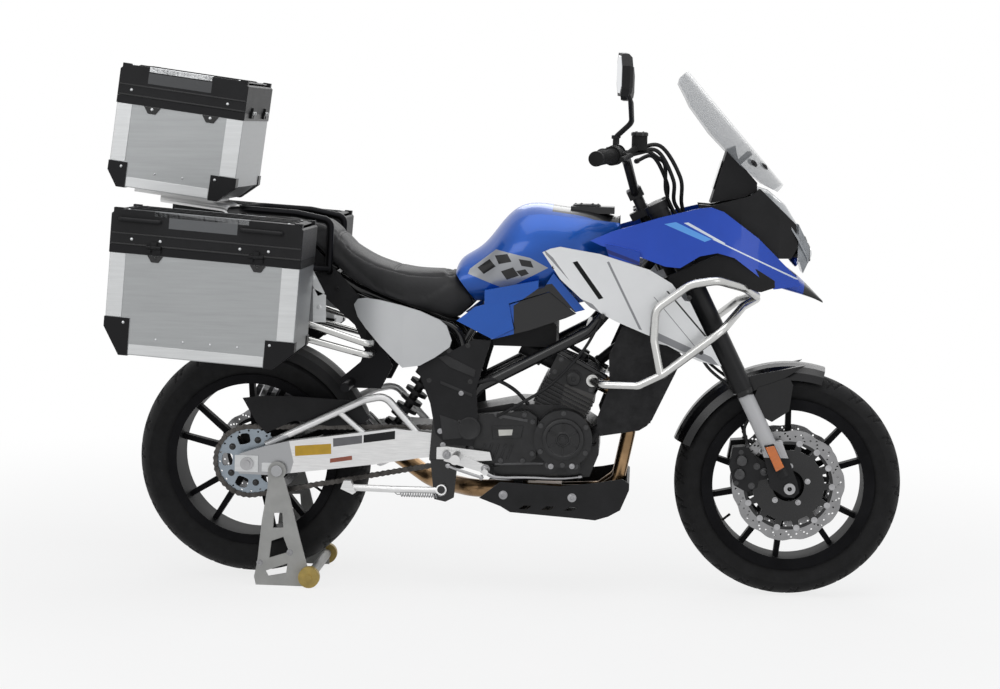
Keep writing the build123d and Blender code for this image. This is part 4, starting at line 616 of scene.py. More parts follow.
# tyre valves, between two spokes of each rim
for tag, centre, angle in (("front", FRONT, 213), ("rear", REAR, 333)):
    shape = Shape()
    (x0, _), (_, z0) = polar(199, angle, *centre), polar(203, angle, *centre)
    (x1, z1), (x2, z2) = (polar(r, angle, *centre) for r in (186, 176))
    shape.sweep([(x0, 8, z0), (x1, 8, z1), (x2, 14, z2)], [3.4, 3.2, 3.6], 10)
    shape.done(f"{tag}_valve", "rubber", f"{tag}_wheel")

# ---- seat: rider's and passenger's pads in one padded cover ---------------------
# columns: x, bottom z and half width, waist z and half width, shoulder z and half width, crown z
SEAT = (
    (-700, 930, 80, 960, 96, 974, 86, 981), (-640, 920, 90, 958, 108, 974, 96, 983),
    (-560, 900, 98, 946, 116, 964, 106, 972), (-491, 850, 102, 938, 117, 956, 108, 966),
    (-455, 800, 104, 905, 118, 926, 112, 938), (-420, 770, 108, 860, 126, 890, 120, 904),
    (-370, 750, 110, 830, 138, 862, 130, 874), (-320, 730, 110, 815, 149, 845, 138, 855),
    (-260, 710, 104, 800, 146, 832, 128, 845), (-200, 700, 96, 790, 130, 828, 106, 844),
    (-150, 690, 86, 785, 112, 830, 84, 847), (-90, 690, 70, 770, 96, 830, 70, 850))
SEAT_BASE = ((-700, 962), (-553, 947), (-430, 826), (-357, 787.6), (-230, 740.6), (-150, 722), (-129, 724),
             (-98, 752), (-80, 770))
SEAT_REAR, SEAT_FRONT, SEAT_STEPS = -697, -92, 118
PAD_INSET, VOXEL, SWELL = 4.0, 0.006, 0.004      # inset in mm, then voxel and most movement in metres
CHANNEL_WIDTH, CHANNEL_DEPTH, CHANNEL_INSET = 5.0, 3.2, 16
PAN_GAP, TANK_GAP, PIN_MARGIN = 0.6, 1.2, 9     # mm off the pan, off the tank, and held still by the cloth
PRESSURE, CLOTH_FRAMES = 4, 20
STITCH_SIDE, THREAD_R = 3.4, 0.45


def between(table, x):
    """Row of a table at x, smooth between its rows."""
    for i in range(len(table) - 1):
        if x <= table[i + 1][0] or i == len(table) - 2:
            a, b, c, d = (table[min(max(j, 0), len(table) - 1)] for j in range(i - 1, i + 3))
            t = min(max((x - b[0]) / (c[0] - b[0]), 0.0), 1.0)
            return [smooth_between(*four, t) for four in zip(a, b, c, d)]


def straight(table, x):
    """Height at x on straight lines between the points of a table."""
    for (x0, z0), (x1, z1) in zip(table, table[1:]):
        if x <= x1:
            return z0 + (z1 - z0) * max(0.0, (x - x0)) / (x1 - x0)
    return table[-1][1]


def arc_points(a, b, c, count):
    """Points on the arc through three points in the plane, from a to c."""
    d = 2 * (a[0] * (b[1] - c[1]) + b[0] * (c[1] - a[1]) + c[0] * (a[1] - b[1]))
    sq = [p[0] ** 2 + p[1] ** 2 for p in (a, b, c)]
    ux = (sq[0] * (b[1] - c[1]) + sq[1] * (c[1] - a[1]) + sq[2] * (a[1] - b[1])) / d
    uy = (sq[0] * (c[0] - b[0]) + sq[1] * (a[0] - c[0]) + sq[2] * (b[0] - a[0])) / d
    r = math.hypot(a[0] - ux, a[1] - uy)
    first, middle, last = (math.atan2(p[1] - uy, p[0] - ux) for p in (a, b, c))
    while middle < first:
        middle += 2 * math.pi
    while last < first:
        last += 2 * math.pi
    if middle > last:
        last -= 2 * math.pi
    angles = [first + (last - first) * k / count for k in range(count + 1)]
    return [(ux + r * math.cos(angle), uy + r * math.sin(angle)) for angle in angles]


def seat_ring(x):
    """Section of the pad at x, from the right bottom over the crown, as (y, z)."""
    _, z0, w0, z1, w1, z2, w2, crown = between(SEAT, x)
    side = arc_points((w0, z0), (w1, z1), (w2, z2), 10)[:-1]
    top = arc_points((w2, z2), (0, crown), (-w2, z2), 16)
    middle_z = (z1 + crown) / 2
    out = []
    for y, z in side + top + [(-y, z) for y, z in reversed(side)]:
        reach = math.hypot(y, z - middle_z)
        k = max(0.0, 1 - PAD_INSET / max(reach, 1.0))
        out.append((y * k, middle_z + (z - middle_z) * k))
    return out


def front_limit(z):
    """X of the slanted joint with the tank at a height."""
    return -146 + (842 - z) * (62 / 80)


def hold_seat(p):
    """Point kept above the seat pan and behind the tank."""
    z = max(p.z, straight(SEAT_BASE, p.x) + PAN_GAP)
    return Vector((min(p.x, front_limit(z) - TANK_GAP), p.y, z))


def baked(obj):
    """Gives a piece the mesh that its modifiers make, and takes them off."""
    obj.data = bpy.data.meshes.new_from_object(obj.evaluated_get(bpy.context.evaluated_depsgraph_get()))
    obj.modifiers.clear()


def make_seat():
    """Pad from its sections, swollen a little like stuffed cloth."""
    shape = Shape()
    stations = [SEAT_REAR + (SEAT_FRONT - SEAT_REAR) * k / SEAT_STEPS for k in range(SEAT_STEPS + 1)]
    shape.skin([shape.ring([hold_seat(Vector((x, y, z))) for y, z in seat_ring(x)]) for x in stations])
    mesh = shape.mesh("seat_pad")
    mesh.transform(Matrix.Scale(MM, 4))
    pad = link_new("seat_pad", mesh)
    remesh = pad.modifiers.new("remesh", "REMESH")
    remesh.mode = "VOXEL"
    remesh.voxel_size = VOXEL
    remesh.use_smooth_shade = True
    baked(pad)
    rest = [v.co.copy() for v in pad.data.vertices]
    pinned = pad.vertex_groups.new(name="pinned")
    fixed = [v.index for v in pad.data.vertices
             if v.co.z / MM < straight(SEAT_BASE, v.co.x / MM) + PIN_MARGIN
             or v.co.x / MM > front_limit(v.co.z / MM) - PIN_MARGIN]
    pinned.add(fixed, 1.0, "REPLACE")
    cloth = pad.modifiers.new("cloth", "CLOTH").settings
    cloth.vertex_group_mass = "pinned"
    cloth.use_pressure = True
    cloth.uniform_pressure_force = PRESSURE
    cloth.effector_weights.gravity = 0
    cloth.quality = 5
    for number in range(1, CLOTH_FRAMES + 1):
        scene.frame_set(number)
    baked(pad)
    pad.vertex_groups.clear()
    scene.frame_set(1)
    for v, home in zip(pad.data.vertices, rest):
        move = v.co - home
        if move.length > SWELL:
            move = move.normalized() * SWELL
        v.co = hold_seat((home + move) / MM) * MM
    return pad


seat_pad = make_seat()


def seat_top(x, y):
    """Point and normal on the pad's upper side."""
    hit, at, normal, _ = seat_pad.ray_cast(Vector((x, y, 1200)) * MM, Vector(DOWN))
    return (at / MM, normal) if hit else (Vector((x, y, straight(SEAT_BASE, x))), Vector(UP))


# sewn channels: one along each side of both pads, and one across at each end of the rider's
seams = []
for x0, x1, count in ((-430, -150, 12), (-690, -470, 9)):
    stations = [x0 + (x1 - x0) * k / count for k in range(count + 1)]
    for sign in (-1, 1):
        seams.append([seat_top(x, sign * (between(SEAT, x)[6] - CHANNEL_INSET))[0] for x in stations])
for x in (-452, -300):
    seams.append([seat_top(x, y)[0] for y in range(-104, 105, 16)])
seam_points = [p for line in seams for p in smooth_path(line, 10)]
tree = KDTree(len(seam_points))
for i, p in enumerate(seam_points):
    tree.insert(p, i)
tree.balance()
for v in seat_pad.data.vertices:
    _, _, gap = tree.find(v.co / MM)
    if gap < CHANNEL_WIDTH * 3:
        v.co -= v.normal * CHANNEL_DEPTH * MM * math.exp(-(gap / CHANNEL_WIDTH) ** 2)
seat_pad.data.update()
finish_pad = seat_pad.modifiers.new("smooth", "SUBSURF")
finish_pad.levels = finish_pad.render_levels = 1
baked(seat_pad)
dress(seat_pad, "leather")
seat_pad.data.shade_smooth()
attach(seat_pad, "chassis")
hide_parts("seat")

shape = Shape()
for line in seams:
    path = smooth_path(line, 9)
    for a, b in zip(path[::2], path[1::2]):
        side = (b - a).cross(Vector(UP)).normalized() * STITCH_SIDE
        for shift in (side, -side):
            la, na = seat_top((a + shift).x, (a + shift).y)
            lb, nb = seat_top((b + shift).x, (b + shift).y)
            shape.sweep([la + na * 0.1, (la + lb) / 2 + na * 0.5, lb + nb * 0.1], THREAD_R, 5)
shape.done("seat_stitches", "thread")

# ---- luggage cases ------------------------------------------------------------
def case_turn(x, y, z, tilt):
    return Matrix.Translation((x, y, z)) @ Matrix.Rotation(math.radians(tilt), 4, "Y")


# place in the machine, then (length, depth, height, lid height) and the (x, z) cuts of the lower corners
PANNIER = (case_turn(-988, -480, 641, 3.7), (476, 236, 272, 88), ((40, 68), (50, 45)))
TOP_CASE = (case_turn(-1052.27, -186, 1051, 7.0), (334, 372, 235, 80), ((26, 40), (44, 40)))
SEAM = 20.5                         # the lid's dark band reaches this far below the case's rim
CORNER = (22, 24)                   # corner brackets reach this far past the cuts, along and up
STRIP, PAD = 1.6, 3.2               # thickness of the folded strips and of the latches


def dress_case(tag, form, faces, latches, lid_body, low_rivets, lid_rivets, rail_look, flip):
    """Folded strips, latches, beads, rails and rivets, in the case's own frame."""
    turn, (length, depth, height, rise), (rear_cut, front_cut) = form
    rim, dark, marks, bead, rail, top, ribs = (Shape() for _ in range(7))
    band = height - SEAM
    first, last = rear_cut[0] + CORNER[0], length - front_cut[0] - CORNER[0]
    for face in faces:
        sign = -1 if face < 1 else 1
        near, far = sorted((face, face + sign * STRIP))
        # folded corner strips, and the folded lower edge between the corner brackets
        rim.block(1, 40, near, far, rear_cut[1] + CORNER[1] + 1, band)
        rim.block(length - 44, length - 1, near, far, front_cut[1] + CORNER[1] + 1, band)
        rim.block(first + 1, last - 1, near, far, 2, 27)
        for k in range(low_rivets):
            marks.rivet((first + (last - first) * (k + 1) / (low_rivets + 1), face, 44), (0, sign, 0), 3.2)
        for x, z in ((rear_cut[0] + 6, rear_cut[1] + 12), (length - front_cut[0] - 10, front_cut[1] + 12)):
            marks.rivet((x, face + sign * 2.5, z), (0, sign, 0), 4.0)
    for face in latches:
        sign = -1 if face < 1 else 1
        for share in (0.28, 0.74):
            x = length * share
            dark.prism([(x - 22, band), (x - 10, band - 18), (x + 10, band - 18), (x + 22, band)],
                       *sorted((face, face + sign * PAD)))
            marks.rivet((x, face + sign * PAD, band - 6), (0, sign, 0), 4.4)
    # lid: pressed beads, raised edge rails, rivets, ribs and corner blocks
    base = height + 0.5
    crown = base + rise
    for y0, y1 in ((-3.6, -2), (depth + 2, depth + 3.6)):
        for z in (1, 27):
            bead.block(0, length, y0, y1, base + z, base + z + 4)
    for y0, y1 in ((-2, 12), (depth - 12, depth + 2)):
        rail.block(length * 0.22, length * 0.72, y0, y1, crown - 13, crown + 1.2)
    for share in lid_rivets:
        for y, way in ((-2, -1), (depth + 2, 1)):
            top.rivet((length * share, y, base + 16), (0, way, 0), 4.2)
    for share in (0.08, 0.92):
        for y in (16, depth - 16):
            top.rivet((length * share, y, crown), UP, 3.6)
    for share in (0.25, 0.5, 0.75):
        y = depth * share
        ribs.prism([(24, crown), (length - 24, crown), (length - 30, crown + 3), (30, crown + 3)],
                   y - 5, y + 5)
    for x in (12, length - 12):
        for y in (12, depth - 12):
            ribs.block(x - 10, x + 10, y - 10, y + 10, crown - 10, crown + 3)
    for shape, name, look, body, bevel in (
            (rim, "strips", "strip", "chassis", 0.5), (dark, "latches", "black_paint", "chassis", 1.0),
            (marks, "rivets", "rivet", "chassis", 0), (bead, "lid_beads", "black_paint", lid_body, 0.7),
            (rail, "lid_rails", rail_look, lid_body, 1.2), (top, "lid_rivets", "rivet", lid_body, 0),
            (ribs, "lid_ribs", "black_plastic", lid_body, 0)):
        shape.done(f"{tag}_{name}", look, body, turn=flip @ turn, bevel=bevel)


for side, _, flip in SIDES:
    dress_case(f"pannier_{side}", PANNIER, (0, 236), (236,), f"pannier_lid_{side}", 4,
               (0.11, 0.26, 0.68, 0.83), "plate_grey", flip)
    tabs = Shape()
    for share in (0.24, 0.78):
        x = 476 * share
        tabs.prism([(x - 20, 251.5), (x - 9, 235), (x + 9, 235), (x + 20, 251.5)], -3, 0)
        tabs.rivet((x, -3, 246), OUT, 4.4)
    tabs.done(f"pannier_{side}_tabs", "black_paint", turn=flip @ PANNIER[0], bevel=0.8)
dress_case("top_case", TOP_CASE, (0, 372), (0, 372), "top_case_lid", 2, (0.1, 0.86), "trim",
           Matrix.Identity(4))

# ---- engine and its covers -----------------------------------------------------------
CYLINDER_LEAN = math.radians(25)
CYLINDER_FOOT = (130, 462)
ROUND_COVER = (155.0, 417.0)


def on_cylinder(forward, y, up):
    """Point given along the leaning cylinders: ahead of their foot, across, and up."""
    c, s = math.cos(CYLINDER_LEAN), math.sin(CYLINDER_LEAN)
    return Vector((CYLINDER_FOOT[0] + forward * c + up * s, y, CYLINDER_FOOT[1] - forward * s + up * c))


# round generator cover: raised ring, spokes and a hexagon plug
shape = Shape()
shape.lathe([(54, 0), (54, 3), (49, 5), (45, 5), (42, 2), (20, 2), (18, 4), (15, 4), (14, 2), (TIP, 2)],
            (ROUND_COVER[0], -170, ROUND_COVER[1]), OUT, 64)
shape.prism(circle(*ROUND_COVER, 9, 6), -177, -170)
for k in range(6):
    shape.prism([polar(r, 60 * k + 30 + a, *ROUND_COVER) for r, a in ((22, -5), (41, -3), (41, 3), (22, 5))],
                -174, -170)
shape.done("generator_cover_face", "casting", bevel=0.6)

rim_bolts = [polar(68, 30 + 60 * k, *ROUND_COVER) for k in range(6)]
clutch_bolts = [polar(74, 45 * k, 90, 410) for k in range(8)]
cover_bolts = ((-80, 460), (-10, 470), (52, 476), (74, 458), (74, 374), (50, 354), (-8, 353), (-54, 354),
               (-86, 382), (-88, 428))
piece("engine_bolts", "dark_bolt",
      bolts=[((x, -147.8, z), OUT, 4.6, 5.0) for x, z in cover_bolts]
      + [((x, -167.8, z), OUT, 4.6, 5.0) for x, z in rim_bolts]
      + [((x, 163.8, z), (0, 1, 0), 4.6, 5.0) for x, z in clutch_bolts]
      + [((x, -150, 345), OUT, 6, 6) for x in (118, 188)]
      + [(on_cylinder(forward, -108, up), OUT, 4.4, 5.0)
         for forward, up in ((-56, 150), (40, 150), (-56, 112), (50, 112))])

# ribs and a raised pad on the left cover, with a blank label
ribs = [([(x, 356), (x + 5, 356), (x + 19, 396), (x + 14, 396)], -147, -143.8) for x in range(-66, 7, 18)]
piece("left_cover_ribs", "casting", ribs + [
    ([(-30, 408), (44, 414), (50, 446), (-34, 442)], -147.5, -143.8),
    ([(88, 378), (92, 374), (92, 458), (88, 462)], -150, -112)], bevel=1.2)
piece("blank_label", "label", [([(-14, 418), (20, 421), (22, 436), (-16, 434)], -148.1, -147.5)])

# cylinder head: plug caps at its ends, cover ribs, coil caps
shape = Shape()
for side in (-1, 1):
    shape.lathe([(19, 0), (19, 5), (15, 8), (6, 8), (6, 4), (TIP, 4)], on_cylinder(-4, side * 96 * 1.19, 118),
                (0, side, 0), 36)
for y in (-60, -20, 20, 60):
    a, b = on_cylinder(-60, y, 158), on_cylinder(52, y, 158)
    shape.sweep([a, a.lerp(b, 0.5) + Vector((1, 0, 3)), b], [4, 5, 4], 8)
for y in (-48, 48):
    shape.lathe([(15, 0), (15, 16), (11, 20), (11, 30), (4, 32), (TIP, 32)], on_cylinder(-4, y, 156),
                (math.sin(CYLINDER_LEAN), 0, math.cos(CYLINDER_LEAN)), 24)
shape.done("head_cover_detail", "casting", bevel=0.5)
hose("coolant_hose", [(346, -96, 486), (318, -118, 470), (262, -132, 452), (236, -128, 430),
                      (222, -118, 402)], 14, ends=3)
hose("coolant_hose_upper", [(390, 92, 672), (350, 96, 668), (290, 100, 640), (252, 98, 610), (236, 92, 596)],
     14, ends=3)
hose("oil_line", [(-62, -146, 330), (-20, -132, 306), (60, -124, 306), (150, -120, 306), (206, -116, 312)], 6,
     "steel", ends=2)
hose("engine_wires", [(60, -116, 500), (20, -126, 540), (-30, -146, 566), (-78, -152, 560),
                      (-112, -152, 600)], 5)
hose("clutch_cable_low", [(-20, -152, 470), (30, -160, 500), (120, -158, 560), (200, -162, 650),
                          (250, -150, 742), (310, -120, 852)], 4)

# ---- fork, brakes, bars ----------------------------------------------------------
RAKE = math.radians(27)
SLOPE = math.tan(RAKE)
LEG_WAY = Vector((-math.sin(RAKE), 0, math.cos(RAKE)))
YOKE_LOW_Z, YOKE_TOP_Z, LEG_TOP_Z, STEM_NUT_Z = 836, 1008.0, 1029.6, 1019
BAR_X = FRONT[0] + (FRONT[1] - YOKE_TOP_Z) * SLOPE - 40 / math.cos(RAKE)
LEG_Y = 105


def leg(z, y, ahead=0.0, out=0.0):
    """Point beside the fork leg's axis at a height: ahead of it, and outward along y."""
    square = Vector((math.cos(RAKE), 0, math.sin(RAKE)))
    return Vector((FRONT[0] + (FRONT[1] - z) * SLOPE, y + out * (1 if y > 0 else -1), z)) + square * ahead


PISTON_CAP = [(15, 0), (15, 6), (13, 8), (4, 8), (4, 6), (TIP, 6)]
REFLECTOR = [(679, 412), (705, 418), (736, 356), (713, 342)]
mid_x, mid_z = centre_of(REFLECTOR)
for tag, side, _ in SIDES:
    y, way = side * LEG_Y, (0, side, 0)
    sleeve = [(27.1, -13), (31.4, -12), (31.4, 12), (27.1, 13)]
    piece(f"fork_seal_{tag}", "gloss_black", body="steering", lathes=[
        ([(20.7, -4), (26.6, -2), (27.4, 0), (27.4, 9), (26.2, 12), (27.2, 13)], leg(545, y), LEG_WAY),
        (sleeve, leg(YOKE_LOW_Z - 6.6, y), LEG_WAY), (sleeve, leg(YOKE_LOW_Z + 6.6, y), LEG_WAY),
        ([(27.1, 0), (27.1, 2), (23, 6), (12, 7), (11, 4), (TIP, 4)], leg(LEG_TOP_Z, y), LEG_WAY, 40)])
    # amber reflector on its bracket
    for name, reach, scale, look in (("reflector_base", (106, 133), 1.0, "black_plastic"),
                                     ("reflector", (133, 138), 0.9, "amber")):
        face = [(mid_x + (x - mid_x) * scale, mid_z + (z - mid_z) * scale) for x, z in REFLECTOR]
        piece(f"{name}_{tag}", look, [(face, *sorted(side * r for r in reach))], body="steering", bevel=1.5)
    # caliper: bridge bolts and pad pins, piston caps, feed bolt
    shape = Shape()
    for x, z, r in ((664, 352, 6), (652, 300, 6), (622, 388, 4.5), (612, 306, 4.5), (684, 338, 7)):
        shape.bolt((x, side * 92, z), way, r, 5)
    for x, z in ((625, 366), (620, 330)):
        shape.lathe(PISTON_CAP, (x, side * 92, z), way, 30)
    shape.lathe([(7.5, 0), (7.5, 6), (4.6, 7), (4.6, 11), (TIP, 12)], (640, side * 88, 402), (-0.3, 0, 1), 18)
    shape.done(f"caliper_bolts_{tag}", "dark_bolt", "steering")
    hose(f"brake_hose_{tag}", [leg(820, y, -44, -8), leg(740, y, -52, -4), leg(640, y, -58, 2),
                               (640, side * 100, 520), (628, side * 98, 452), (638, side * 92, 412)], 4.2,
         body="steering", ends=1.6)

# lower yoke's pinch bolts and the steering stem nut
shape = Shape()
for y in (-LEG_Y, LEG_Y):
    for ahead in (-14, 14):
        shape.bolt(leg(YOKE_LOW_Z, y, -32) + Vector((0, ahead * 0.9, 0)), (-1, 0, 0.5), 4.5, 5)
shape.lathe([(21, 0), (21, 6), (18, 9), (18, 13), (8, 13), (8, 6), (TIP, 6)],
            (FRONT[0] + (FRONT[1] - STEM_NUT_Z) * SLOPE - 44.9, 0, STEM_NUT_Z), LEG_WAY, 36)
shape.done("stem_nut", "steel", "steering")


def on_bar(ahead, y, up):
    return Vector((BAR_X + ahead, y, YOKE_TOP_Z + up))


GRIP_A, GRIP_B = on_bar(-74, -250, 152), on_bar(-118, -408, 144)
MIRROR_FACE = [(-46, -30), (-26, -47), (21, -45), (43, -17), (42, 27), (22, 47), (-27, 44), (-47, 17)]
way = (GRIP_B - GRIP_A).normalized()
grip_ribs = [(r, 46 + k * 4.2 + d) for k in range(26)
             for r, d in ((17.2, 0), (18.0, 0.8), (18.0, 2.6), (17.2, 3.4))]
for tag, _, flip in SIDES:
    on_side = dict(body="steering", turn=flip)
    # ribbed grip, flange, bar-end weight
    piece(f"grip_{tag}", "rubber", smooth=30, **on_side, lathes=[
        ([(17.2, 37), (20, 38), (20, 42), (17.4, 44)] + grip_ribs
         + [(17.2, 156), (18.5, 158), (19.2, 164), (18.6, 171), (15, 172.4), (TIP, 172.6)], GRIP_A, way, 40)])
    rings = [([(23.8, -3), (24.6, -2), (24.6, 2), (23.8, 3)], GRIP_A + way * d, way, 40) for d in (5, 19, 31)]
    buttons = [([(w, 0), (w, 3), (w - 1, 4), (TIP, 4)], GRIP_A + way * 19 + Vector((-23.5, dy, dz)),
                (-1, 0, 0.1), 16) for dy, dz, w in ((0, 12, 5), (0, 0, 4), (6, -10, 4))]
    piece(f"switches_{tag}", "black_plastic", lathes=rings + buttons, **on_side)
    pot = on_bar(-14, -232, 188)
    piece(f"reservoir_cap_{tag}", "gloss_black", **on_side,
          lathes=[([(20.4, 14), (22, 15), (22, 22), (20, 24), (TIP, 24)], pot, UP, 36)],
          bolts=[(pot + Vector((*polar(13, a), 23.6)), UP, 2.4, 2) for a in (45, 225)])
    # mirror glass, let into the housing's rear face, and the ball joints of its stem
    shape = Shape()
    shape.skin([shape.ring([(depth, y * grow, z * grow) for y, z in MIRROR_FACE])
                for depth, grow in ((-14.0, 1.0), (-14.9, 0.985), (-15.0, 0.93))])
    turn = Matrix.Translation(on_bar(-54, -410, 352)) @ Matrix.Rotation(math.radians(8), 4, "Z")
    shape.done(f"mirror_glass_{tag}", "mirror_glass", "steering", turn=flip @ turn, smooth=0)
    piece(f"mirror_joints_{tag}", "black_plastic", **on_side, lathes=[
        ([(6, -5), (9, -4), (9, 4), (6, 5)], spot, axis, 20)
        for spot, axis in ((on_bar(-52, -402, 322), (0.2, -0.3, 1)), (on_bar(-76, -264, 198), UP))])
lean = Matrix.Translation((BAR_X, 0, YOKE_TOP_Z)) @ Matrix.Rotation(-RAKE, 4, "Y")
piece("bar_clamp_bolts", "bolt_steel", body="steering", bolts=[
    (lean @ Vector((ahead, y, 66)), LEG_WAY, 5, 5) for y in (-40, 40) for ahead in (-10, 16)])

# ---- dash, screen, tank and body fittings ---------------------------------------------------
piece("headlamp_reflectors", "chrome", lathes=[
    row for y in (-30, 30) for row in (
        ([(24, 0), (22, -6), (14, -16), (TIP, -20)], (752, y, 905), (1, 0, -0.25), 40),
        ([(25, -2), (26.5, 0), (26.5, 3), (25, 5)], (753.5, y, 904), (1, 0, -0.25), 40))])
piece("dash_hood", "black_plastic", [([(563, 1172), (581, 1182), (589, 1150), (571, 1150)], -62, 62)],
      bevel=2.0)
dash_turn = Matrix.Translation((540, 0, 1112)) @ Matrix.Rotation(math.radians(15.9), 4, "Y")
piece("dash_screen", "display", [([(-4.4, -38), (-2, -38), (-2, 40), (-4.4, 40)], -58, 58)], turn=dash_turn,
      bevel=1.0)

SCREEN_R, SCREEN_FOOT = 190, Vector((712, 0, 1092))
screen_way = (Vector((452, 0, 1384)) - SCREEN_FOOT).normalized()
screen_out = Vector((screen_way.z, 0, -screen_way.x))
shape = Shape()
for side in (-1, 1):
    for d, y in ((70, 56), (96, 96)):
        level = math.sqrt(SCREEN_R ** 2 - y ** 2)
        at = SCREEN_FOOT + Vector((0, side * y, 0)) + screen_way * d - screen_out * (SCREEN_R - level - 0.2)
        normal = (screen_out * level / SCREEN_R + Vector((0, side * y / SCREEN_R, 0))).normalized()
        shape.bolt(at, normal, 6.5, 3.2)
        shape.lathe([(11, -0.4), (11, 0.8), (8, 1.2)], at, normal, 24)
shape.done("screen_bolts", "black_plastic")

piece("filler_cap", "satin_black",
      lathes=[([(37, 0), (37, 3), (34, 5), (24, 5.5), (23, 3.5), (12, 3.5), (11, 5), (TIP, 5)],
               (196, 0, 1021), UP, 56)],
      bolts=[((*polar(30, 60 * k, 196, 0), 1026), UP, 2.6, 2) for k in range(6)])
shape = Shape()
for side in (-1, 1):
    for x, z in ((-150, 640), (-118, 452), (-92, 560), (-200, 560), (-100, 655)):
        shape.bolt((x, side * 159, z), (0, side, 0), 4.6, 4)
    for x, y, z in ((470, 205, 800), (250, 204, 745), (120, 185, 868), (505, 205, 660)):
        shape.bolt((x, side * y, z), (0, side, 0), 4.4, 4)
shape.done("body_bolts", "black_paint")

# black sheet behind the slot of each shroud, painted shade in the slot, and the inner cowl below the fairing
piece("slot_shade_sheet", "black_plastic", [([(160, 890), (186, 892), (256, 786), (232, 782)], -190, -184)],
      twin=True)
INNER_COWL = [(416, 812), (447, 797), (477, 832), (528, 849), (601, 833), (645, 816), (657, 816), (691, 828),
              (690, 846), (612, 893), (552, 914), (496, 890), (415, 851)]
piece("inner_cowl", "black_plastic", [(INNER_COWL, -154, -149)], twin=True, bevel=1.5)

# plain stickers on the swingarm
for name, face, look in (("yellow", [(-552, 346), (-456, 355), (-457, 382), (-553, 373)], "yellow_label"),
                         ("grey", [(-451, 374), (-375, 386), (-375, 407), (-452, 396)], "grey_label"),
                         ("black", [(-371, 387), (-288, 400), (-288, 422), (-371, 408)], "satin_black"),
                         ("red", [(-459, 331), (-400, 341), (-401, 352), (-459, 342)], "red_label")):
    piece(f"sticker_{name}", look, [(face, -146.5, -146)])

# side stand spring
COILS, COIL_STEPS = 15, 10
coil = []
for k in range(COILS * COIL_STEPS + 1):
    y, z = polar(5, 360 * k / COIL_STEPS, -176, 258)
    coil.append((-268 + 98 * k / (COILS * COIL_STEPS), y, z))
shape = Shape()
shape.sweep([(-284, -176, 264), (-276, -176, 258)] + coil + [(-162, -176, 258), (-156, -176, 262)], 1.4, 6)
shape.done("stand_spring", "steel", "side_stand")

# cables from the controls down to the headstock
for k, (out, rise, reach) in enumerate(((-196, 166, 60), (-180, 178, 78), (-150, 150, 44))):
    hose(f"cable_{k}", [on_bar(-40 + 8 * k, out - 30, rise - 14), on_bar(reach * 0.5, out, rise),
                        on_bar(reach + 16, out * 0.7, rise * 0.55), on_bar(reach + 22, out * 0.5, 30),
                        (470 - 10 * k, out * 0.4, 985)], 5.2, body="steering", ends=1.4)

# ---- tail, racks, exhaust, lamps ------------------------------------------------------------
# black sides of the tail, under the pillion seat
TAIL_SIDE = [(-556, 936), (-473, 859), (-394, 772), (-374, 683), (-324, 573), (-357, 598), (-404, 695),
             (-485, 767), (-545, 857)]
piece("tail_sides", "black_plastic", [(TAIL_SIDE, -113, -108.5)], twin=True,
      bolts=[((x, -113, z), OUT, 6, 4) for x, z in ((-500, 830), (-452, 790), (-372, 640))])

# support arms and plates on the pannier hoops
for name, face, look in (("arms", [(-532, 867), (-513, 870), (-468, 786), (-486, 778)], "strip"),
                         ("plates", [(-536, 808), (-499, 804), (-498, 710), (-534, 714)], "plate_grey"),
                         ("gussets", [(-499, 798), (-465, 781), (-464, 711), (-499, 710)], "strip")):
    x, z = centre_of(face)
    piece(f"rack_{name}", look, [(face, -233.5, -231.2)], bolts=[((x, -233.5, z), OUT, 5, 4)], twin=True)

# muffler: clamps and end rings, and a slotted heat shield on its outer side
MUFFLER_START, MUFFLER_END = Vector((-345, 206, 326)), Vector((-700, 212, 458))
along = (MUFFLER_END - MUFFLER_START).normalized()
CLAMP = [(54.2, 0), (56, 0.6), (56, 13), (54.2, 14)]
clamps = [(CLAMP, MUFFLER_START + along * d, along, 64) for d in (18, 120, 340)]
piece("muffler_rings", "steel", lathes=clamps + [
    ([(54.2, -14), (57, -12), (57, 1), (53, 4), (40, 5), (31, 2), (31, -1)], MUFFLER_END, along, 64),
    ([(54.2, 12), (57, 10), (57, 0), (50, -8), (34, -22), (30, -22)], MUFFLER_START, along, 64)])


def on_muffler(d, angle, radius):
    """Point at a distance along the muffler, at an angle round it from its outer side."""
    a = math.radians(angle)
    side = Vector((0, 1, 0))
    rise = along.cross(side).normalized()
    return MUFFLER_START + along * d + (side * math.cos(a) + rise * math.sin(a)) * radius


shape = Shape()
edge = [(58.5, a) for a in range(-48, 49, 12)] + [(57, a) for a in range(48, -49, -12)]
for k in range(7):
    shape.skin([shape.ring([on_muffler(d + 27 * k, a, radius) for radius, a in edge]) for d in (142, 160)])
for a in (-46, 46):
    shape.sweep([on_muffler(134, a, 58), on_muffler(332, a, 58)], 3, 10)
shape.done("heat_shield", "brushed", bevel=0.4)

# header flanges
shape = Shape()
for y in (-48, 48):
    port = on_cylinder(60, y, 131)
    way = (on_cylinder(112, y, 131) - port).normalized()
    shape.lathe([(18, 0), (29, 0), (29, 6), (18, 6)], port + way * 2, way, 32)
    for side in (-24, 24):
        shape.bolt(port + way * 8 + Vector((0, side, 0)), way, 4.5, 6)
shape.done("header_flanges", "steel")

